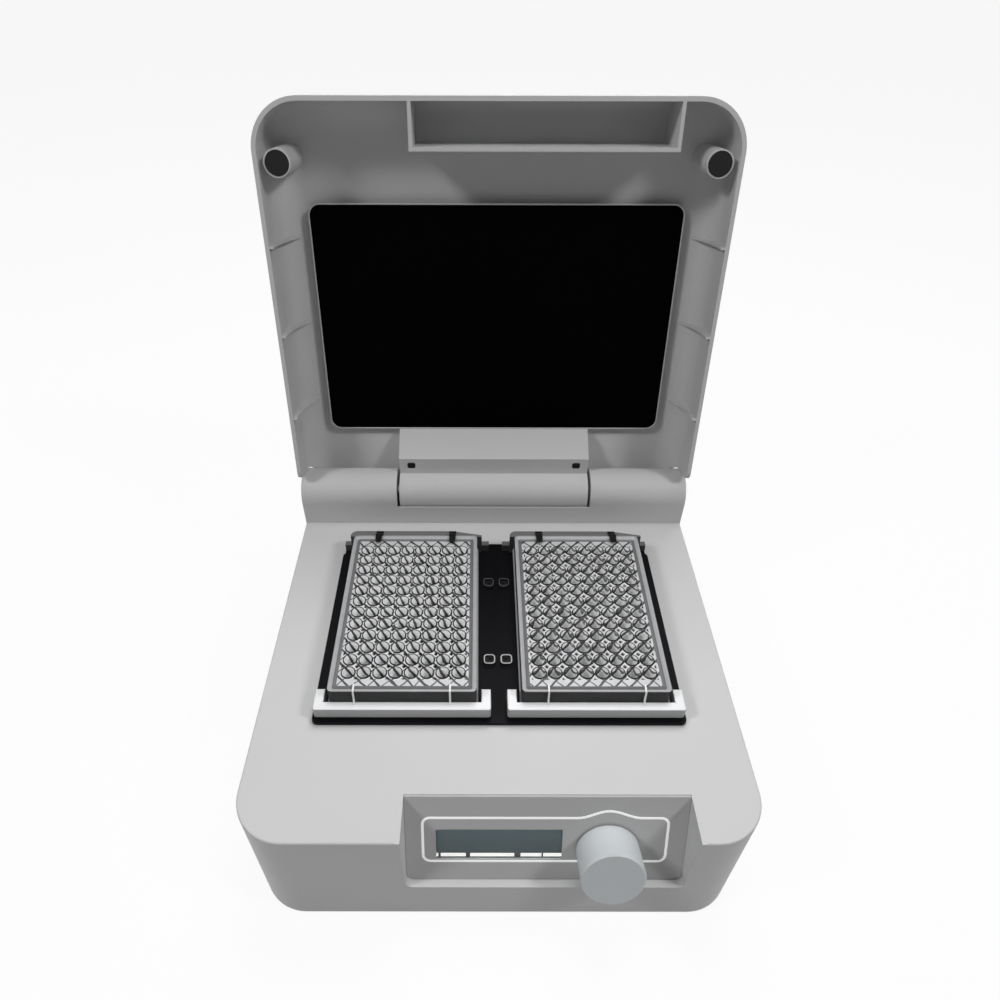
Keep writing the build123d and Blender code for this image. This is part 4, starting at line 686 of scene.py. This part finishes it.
def bead(path, out, across, width, height):
    """A low moulding round a closed path: seven points of a half ellipse at each of its points.

    A point is path + (width / 2) cos(a) across + height sin(a) out, with a from 0 to pi.
    """
    turn = np.linspace(0.0, math.pi, 7)
    aside = (np.cos(turn) * width / 2)[None, :, None] * across[:, None, :]
    above = (np.sin(turn) * height)[None, :, None] * out
    spots = (path[:, None, :] + aside + above).reshape(-1, 3)
    faces = grid_faces(len(path), len(turn), close_rows=True, close_columns=True)
    return spots, faces.tolist()


class MIXER_OT_leaves(bpy.types.Operator):
    """Fit two leaf springs on each clamp rail, up the front of its plate and over the rim"""
    bl_idname = "mixer.leaves"
    bl_label = "Leaf Springs"

    def execute(self, context):
        trim = context.scene.mixer_trim
        bright = moulded("leaf_bright", (0.90, 0.90, 0.90), 0.000004, 0.3, 0.5)
        for side in ("left", "right"):
            low, high = corners("microplate_" + side)
            middle, face, top = (low[0] + high[0]) / 2, low[1], high[2]
            rail = corners("clamp_rail_" + side)[1][2]
            line = [
                (face - 0.0022, rail + 0.0003), (face - 0.0004, rail + 0.0003),    # on the rail
                (face + 0.0002, top - 0.0030), (face + 0.0002, top + 0.0009),      # up the plate
                (face + 0.0030, top + 0.0006), (face + 0.0052, top + 0.0013),      # over its rim
            ]
            leaves("leaf_springs_" + side, (middle - trim.leaf_apart, middle + trim.leaf_apart),
                   line, trim.leaf_width, trim.sheet, bright, "rail_" + side)
        return {"FINISHED"}


class MIXER_OT_stop_clips(bpy.types.Operator):
    """Fit two clips on the rear stops behind each plate, forward over the plate's rim"""
    bl_idname = "mixer.stop_clips"
    bl_label = "Stop Clips"

    def execute(self, context):
        trim = context.scene.mixer_trim
        dark = coated_metal("clip_black", (0.006, 0.006, 0.006), 0.4, 0.0, 0.00001, 0.2)
        (_, stop_front, _), (_, stop_back, crest) = corners("rear_stops")
        boxes = [corners("microplate_" + side) for side in ("left", "right")]
        back, top = boxes[-1][1][1:]
        line = [
            (stop_back - 0.0006, crest + 0.0003), (stop_front + 0.0006, crest + 0.0003),
            (stop_front + 0.0004, top + 0.0010),                                   # off the stop
            (back - 0.0055, top + 0.0006), (back - 0.0080, top + 0.0012),          # over the rim
        ]
        middles = [(low[0] + high[0]) / 2 + way * trim.clip_apart
                   for low, high in boxes for way in (-1, 1)]
        leaves("stop_clips", middles, line, trim.clip_width, trim.sheet * 1.5, dark,
               "platform")
        return {"FINISHED"}


class MIXER_OT_rings(bpy.types.Operator):
    """Lay a rounded square ring on the platform round each of its screws"""
    bl_idname = "mixer.rings"
    bl_label = "Screw Rings"

    def execute(self, context):
        trim = context.scene.mixer_trim
        # one ring in two copies: lighter in front by painted light, darker behind by painted shade
        bright = coated_metal("ring_painted_light", (0.62, 0.62, 0.62), 0.35, 0.0, 0.000006, 0.5)
        dim = coated_metal("ring_painted_shade", (0.12, 0.12, 0.12), 0.35, 0.0, 0.000006, 0.3)
        low, high = corners("platform_screws")
        deck = corners("platform_plate")[1][2]
        head = 0.0026                                    # half the width of a screw's head
        corner, height = 0.0017, 0.0002                  # corner radius and height of a ring
        flat = rounded_loop(trim.ring, trim.ring, corner)
        level = np.zeros((len(flat), 1))
        path = np.concatenate([flat, level], 1)
        across = np.concatenate([outward(flat), level], 1)
        # painted light on the front rings, painted shade on the rear ones
        rows = (("front", low[1] + head, bright, 0.0008), ("rear", high[1] - head, dim, 0.0005))
        for name, y, material, width in rows:
            made, faces = [], []
            for x in (low[0] + head, high[0] - head):
                spots, quads = bead(path + (x, y, deck), np.array((0.0, 0.0, 1.0)), across,
                                    width, height)
                faces += [tuple(point + len(made) * len(spots) for point in quad) for quad in quads]
                made.append(spots)
            weld(piece("screw_rings_" + name, np.concatenate(made), faces, [material],
                       "platform"))
        return {"FINISHED"}


def front_face(node):
    """Flat front of a leaning CAD node: its middle, half sizes, outward and upward directions.

    Outward is the mean of the normals that look forwards, weighted by area, and upward is square
    to it and to x. The middle is halfway between the ends along x and upward, on the front itself.
    """
    mesh = NODES[node].data
    count = len(mesh.polygons)
    normals, areas = np.empty(count * 3), np.empty(count)
    mesh.polygons.foreach_get("normal", normals)
    mesh.polygons.foreach_get("area", areas)
    normals = normals.reshape(-1, 3)
    forwards, least = np.array((0.0, -1.0, 0.0)), 0.7    # direction, and the cosine to reach
    facing = (normals @ forwards > least) * areas
    out = (normals * facing[:, None]).sum(0)
    out[0] = 0.0
    out /= np.linalg.norm(out)
    up = np.cross(out, (-1.0, 0.0, 0.0))
    spots = np.empty(len(mesh.vertices) * 3)
    mesh.vertices.foreach_get("co", spots)
    spots = spots.reshape(-1, 3)
    heights = spots @ up
    middle = np.array(((spots[:, 0].max() + spots[:, 0].min()) / 2, 0.0, 0.0))
    middle = middle + (heights.max() + heights.min()) / 2 * up + (spots @ out).max() * out
    return middle, (np.ptp(spots[:, 0]) / 2, np.ptp(heights) / 2), out, up


class MIXER_OT_bead(bpy.types.Operator):
    """Run a thin bead round the face of the lid heater"""
    bl_idname = "mixer.bead"
    bl_label = "Heater Bead"

    def execute(self, context):
        trim = context.scene.mixer_trim
        middle, half, out, up = front_face("lid_heater")
        flat = rounded_loop(*half, trim.heater_corner, 10)
        along = np.array(((1.0, 0.0, 0.0), up))
        spots, quads = bead(middle + flat @ along, out, outward(flat) @ along,
                            trim.bead, trim.bead * 0.4)
        rim = moulded("heater_bead", (0.52, 0.52, 0.52), 0.000004, 0.3, 0.5)
        weld(piece("heater_bead", spots, quads, [rim], "lid"))
        return {"FINISHED"}


class MIXER_OT_stage(bpy.types.Operator):
    """Set the pale floor, the white surroundings, three soft lamps overhead and the camera"""
    bl_idname = "mixer.stage"
    bl_label = "Stage"

    def execute(self, context):
        stage = context.scene.mixer_stage
        scene = context.scene
        scene.view_settings.view_transform = "Standard"
        pure = (1.0, 1.0, 1.0)

        # floor: pale where it is seen, with a trace of shadow, and plain where it only lights
        reach = 6.0
        lit = 0.92                                       # share of the seen floor that shines
        mesh = bpy.data.meshes.new("floor")
        mesh.from_pydata([(-reach, -reach, 0), (reach, -reach, 0), (reach, reach, 0), (-reach, reach, 0)],
                         [], [(0, 1, 2, 3)])
        floor = bpy.data.objects.new("floor", mesh)
        scene.collection.objects.link(floor)
        made, board = finish("floor_white")
        out = board.tree.nodes.new("ShaderNodeOutputMaterial")
        cloud = board.noise(3.0)
        plain = board.node("ShaderNodeBsdfDiffuse", {},
                           {"Color": board.vary(cloud, stage.floor, 0.98, 1.0)})
        pale = board.node("ShaderNodeBsdfDiffuse", {},
                          {"Color": board.mix(cloud, (0.94, 0.94, 0.94), pure)})
        glow = board.node("ShaderNodeEmission", {}, {"Color": pure, "Strength": 1.0})
        seen = board.node("ShaderNodeMixShader", {}, {0: lit, 1: pale, 2: glow})
        mixed = board.node("ShaderNodeMixShader", {}, {0: board.shown(), 1: plain, 2: seen})
        board.tree.links.new(mixed.socket, out.inputs["Surface"])
        floor.data.materials.append(made)

        # surroundings: a low even light, white where they are seen, in gloss or through glass
        world = bpy.data.worlds.new("surroundings")
        scene.world = world
        board = Board(world)
        out = board.tree.nodes.new("ShaderNodeOutputWorld")
        even = board.node("ShaderNodeBackground", {}, {"Color": pure, "Strength": stage.fill})
        white = board.node("ShaderNodeBackground", {}, {"Color": pure, "Strength": 1.0})
        mixed = board.node("ShaderNodeMixShader", {}, {0: board.shown(), 1: even, 2: white})
        board.tree.links.new(mixed.socket, out.inputs["Surface"])

        # one broad lamp above and behind the lid, and one at each side in front
        lamps = {
            "lamp_key": ((0.12, 0.38, 1.25), (0.6, 0.5), stage.key),
            "lamp_left": ((-1.10, -0.52, 1.45), (0.3, 0.3), stage.sides),
            "lamp_right": ((1.10, -0.52, 1.45), (0.3, 0.3), stage.sides * 0.97),
        }
        aim = Vector((0.0, 0.0, 0.15))
        for name, (place, size, power) in lamps.items():
            lamp = bpy.data.lights.new(name, "AREA")
            lamp.shape, lamp.size, lamp.size_y = "RECTANGLE", *size
            lamp.energy = power
            holder = bpy.data.objects.new(name, lamp)
            turn = (Vector(place) - aim).to_track_quat("Z", "Y").to_matrix().to_4x4()
            holder.matrix_world = Matrix.Translation(place) @ turn
            scene.collection.objects.link(holder)

        # camera: placed from the foot of the ridge on the deck
        hinge = np.array(JOINTS["lid_hinge"]["pos_m"])
        foot_y, deck_z = hinge[1] - 0.016, hinge[2] - 0.0185
        film = 36.0                                      # width in millimetres
        focal = 735.9                                    # focal length, 1000 being the width
        lens = bpy.data.cameras.new("camera")
        lens.lens = film * focal / 1000.0
        lens.sensor_width = film
        lens.sensor_fit = "HORIZONTAL"
        lens.shift_x, lens.shift_y = 0.0212, 0.0156
        lens.clip_start, lens.clip_end = 0.01, 50.0
        camera = bpy.data.objects.new("camera", lens)
        camera.matrix_world = (Matrix.Translation((-0.01103, foot_y - 0.39909, deck_z + 0.36663))
                               @ Matrix.Rotation(math.radians(-0.06), 4, "Z")
                               @ Matrix.Rotation(math.radians(48.0), 4, "X")
                               @ Matrix.Rotation(math.radians(0.147), 4, "Z"))
        scene.collection.objects.link(camera)
        scene.camera = camera
        return {"FINISHED"}


class MIXER_PT_sidebar(bpy.types.Panel):
    """Lists the builder's steps and their settings"""
    bl_idname = "MIXER_PT_sidebar"
    bl_label = "Thermal Mixer"
    bl_space_type = "VIEW_3D"
    bl_region_type = "UI"
    bl_category = "Thermal Mixer"

    def draw(self, context):
        for group, steps in GROUPS.items():
            settings = getattr(context.scene, group)
            box = self.layout.box()
            for key in type(settings).__annotations__:
                box.prop(settings, key)
            for step in steps:
                box.operator(step.bl_idname)


GROUPS = {
    "mixer_finish": (MIXER_OT_finishes, MIXER_OT_display),
    "mixer_plate": (MIXER_OT_plates,),
    "mixer_print": (MIXER_OT_panel_print,),
    "mixer_trim": (MIXER_OT_leaves, MIXER_OT_stop_clips, MIXER_OT_rings, MIXER_OT_bead),
    "mixer_stage": (MIXER_OT_stage,),
}
SETTINGS = {
    "mixer_finish": FinishSettings,
    "mixer_plate": PlateSettings,
    "mixer_print": PrintSettings,
    "mixer_trim": TrimSettings,
    "mixer_stage": StageSettings,
}


def register():
    for group, settings in SETTINGS.items():
        bpy.utils.register_class(settings)
        setattr(bpy.types.Scene, group, bpy.props.PointerProperty(type=settings))
    for steps in GROUPS.values():
        for step in steps:
            bpy.utils.register_class(step)
    bpy.utils.register_class(MIXER_PT_sidebar)


def unregister():
    bpy.utils.unregister_class(MIXER_PT_sidebar)
    for steps in GROUPS.values():
        for step in steps:
            bpy.utils.unregister_class(step)
    for group, settings in SETTINGS.items():
        delattr(bpy.types.Scene, group)
        bpy.utils.unregister_class(settings)


def main():
    """Runs every step in order."""
    register()
    bpy.ops.mixer.stage()
    bpy.ops.mixer.finishes()
    bpy.ops.mixer.display()
    bpy.ops.mixer.panel_print()
    bpy.ops.mixer.plates()
    bpy.ops.mixer.leaves()
    bpy.ops.mixer.stop_clips()
    bpy.ops.mixer.rings()
    bpy.ops.mixer.bead()


if __name__ == "__main__":
    main()
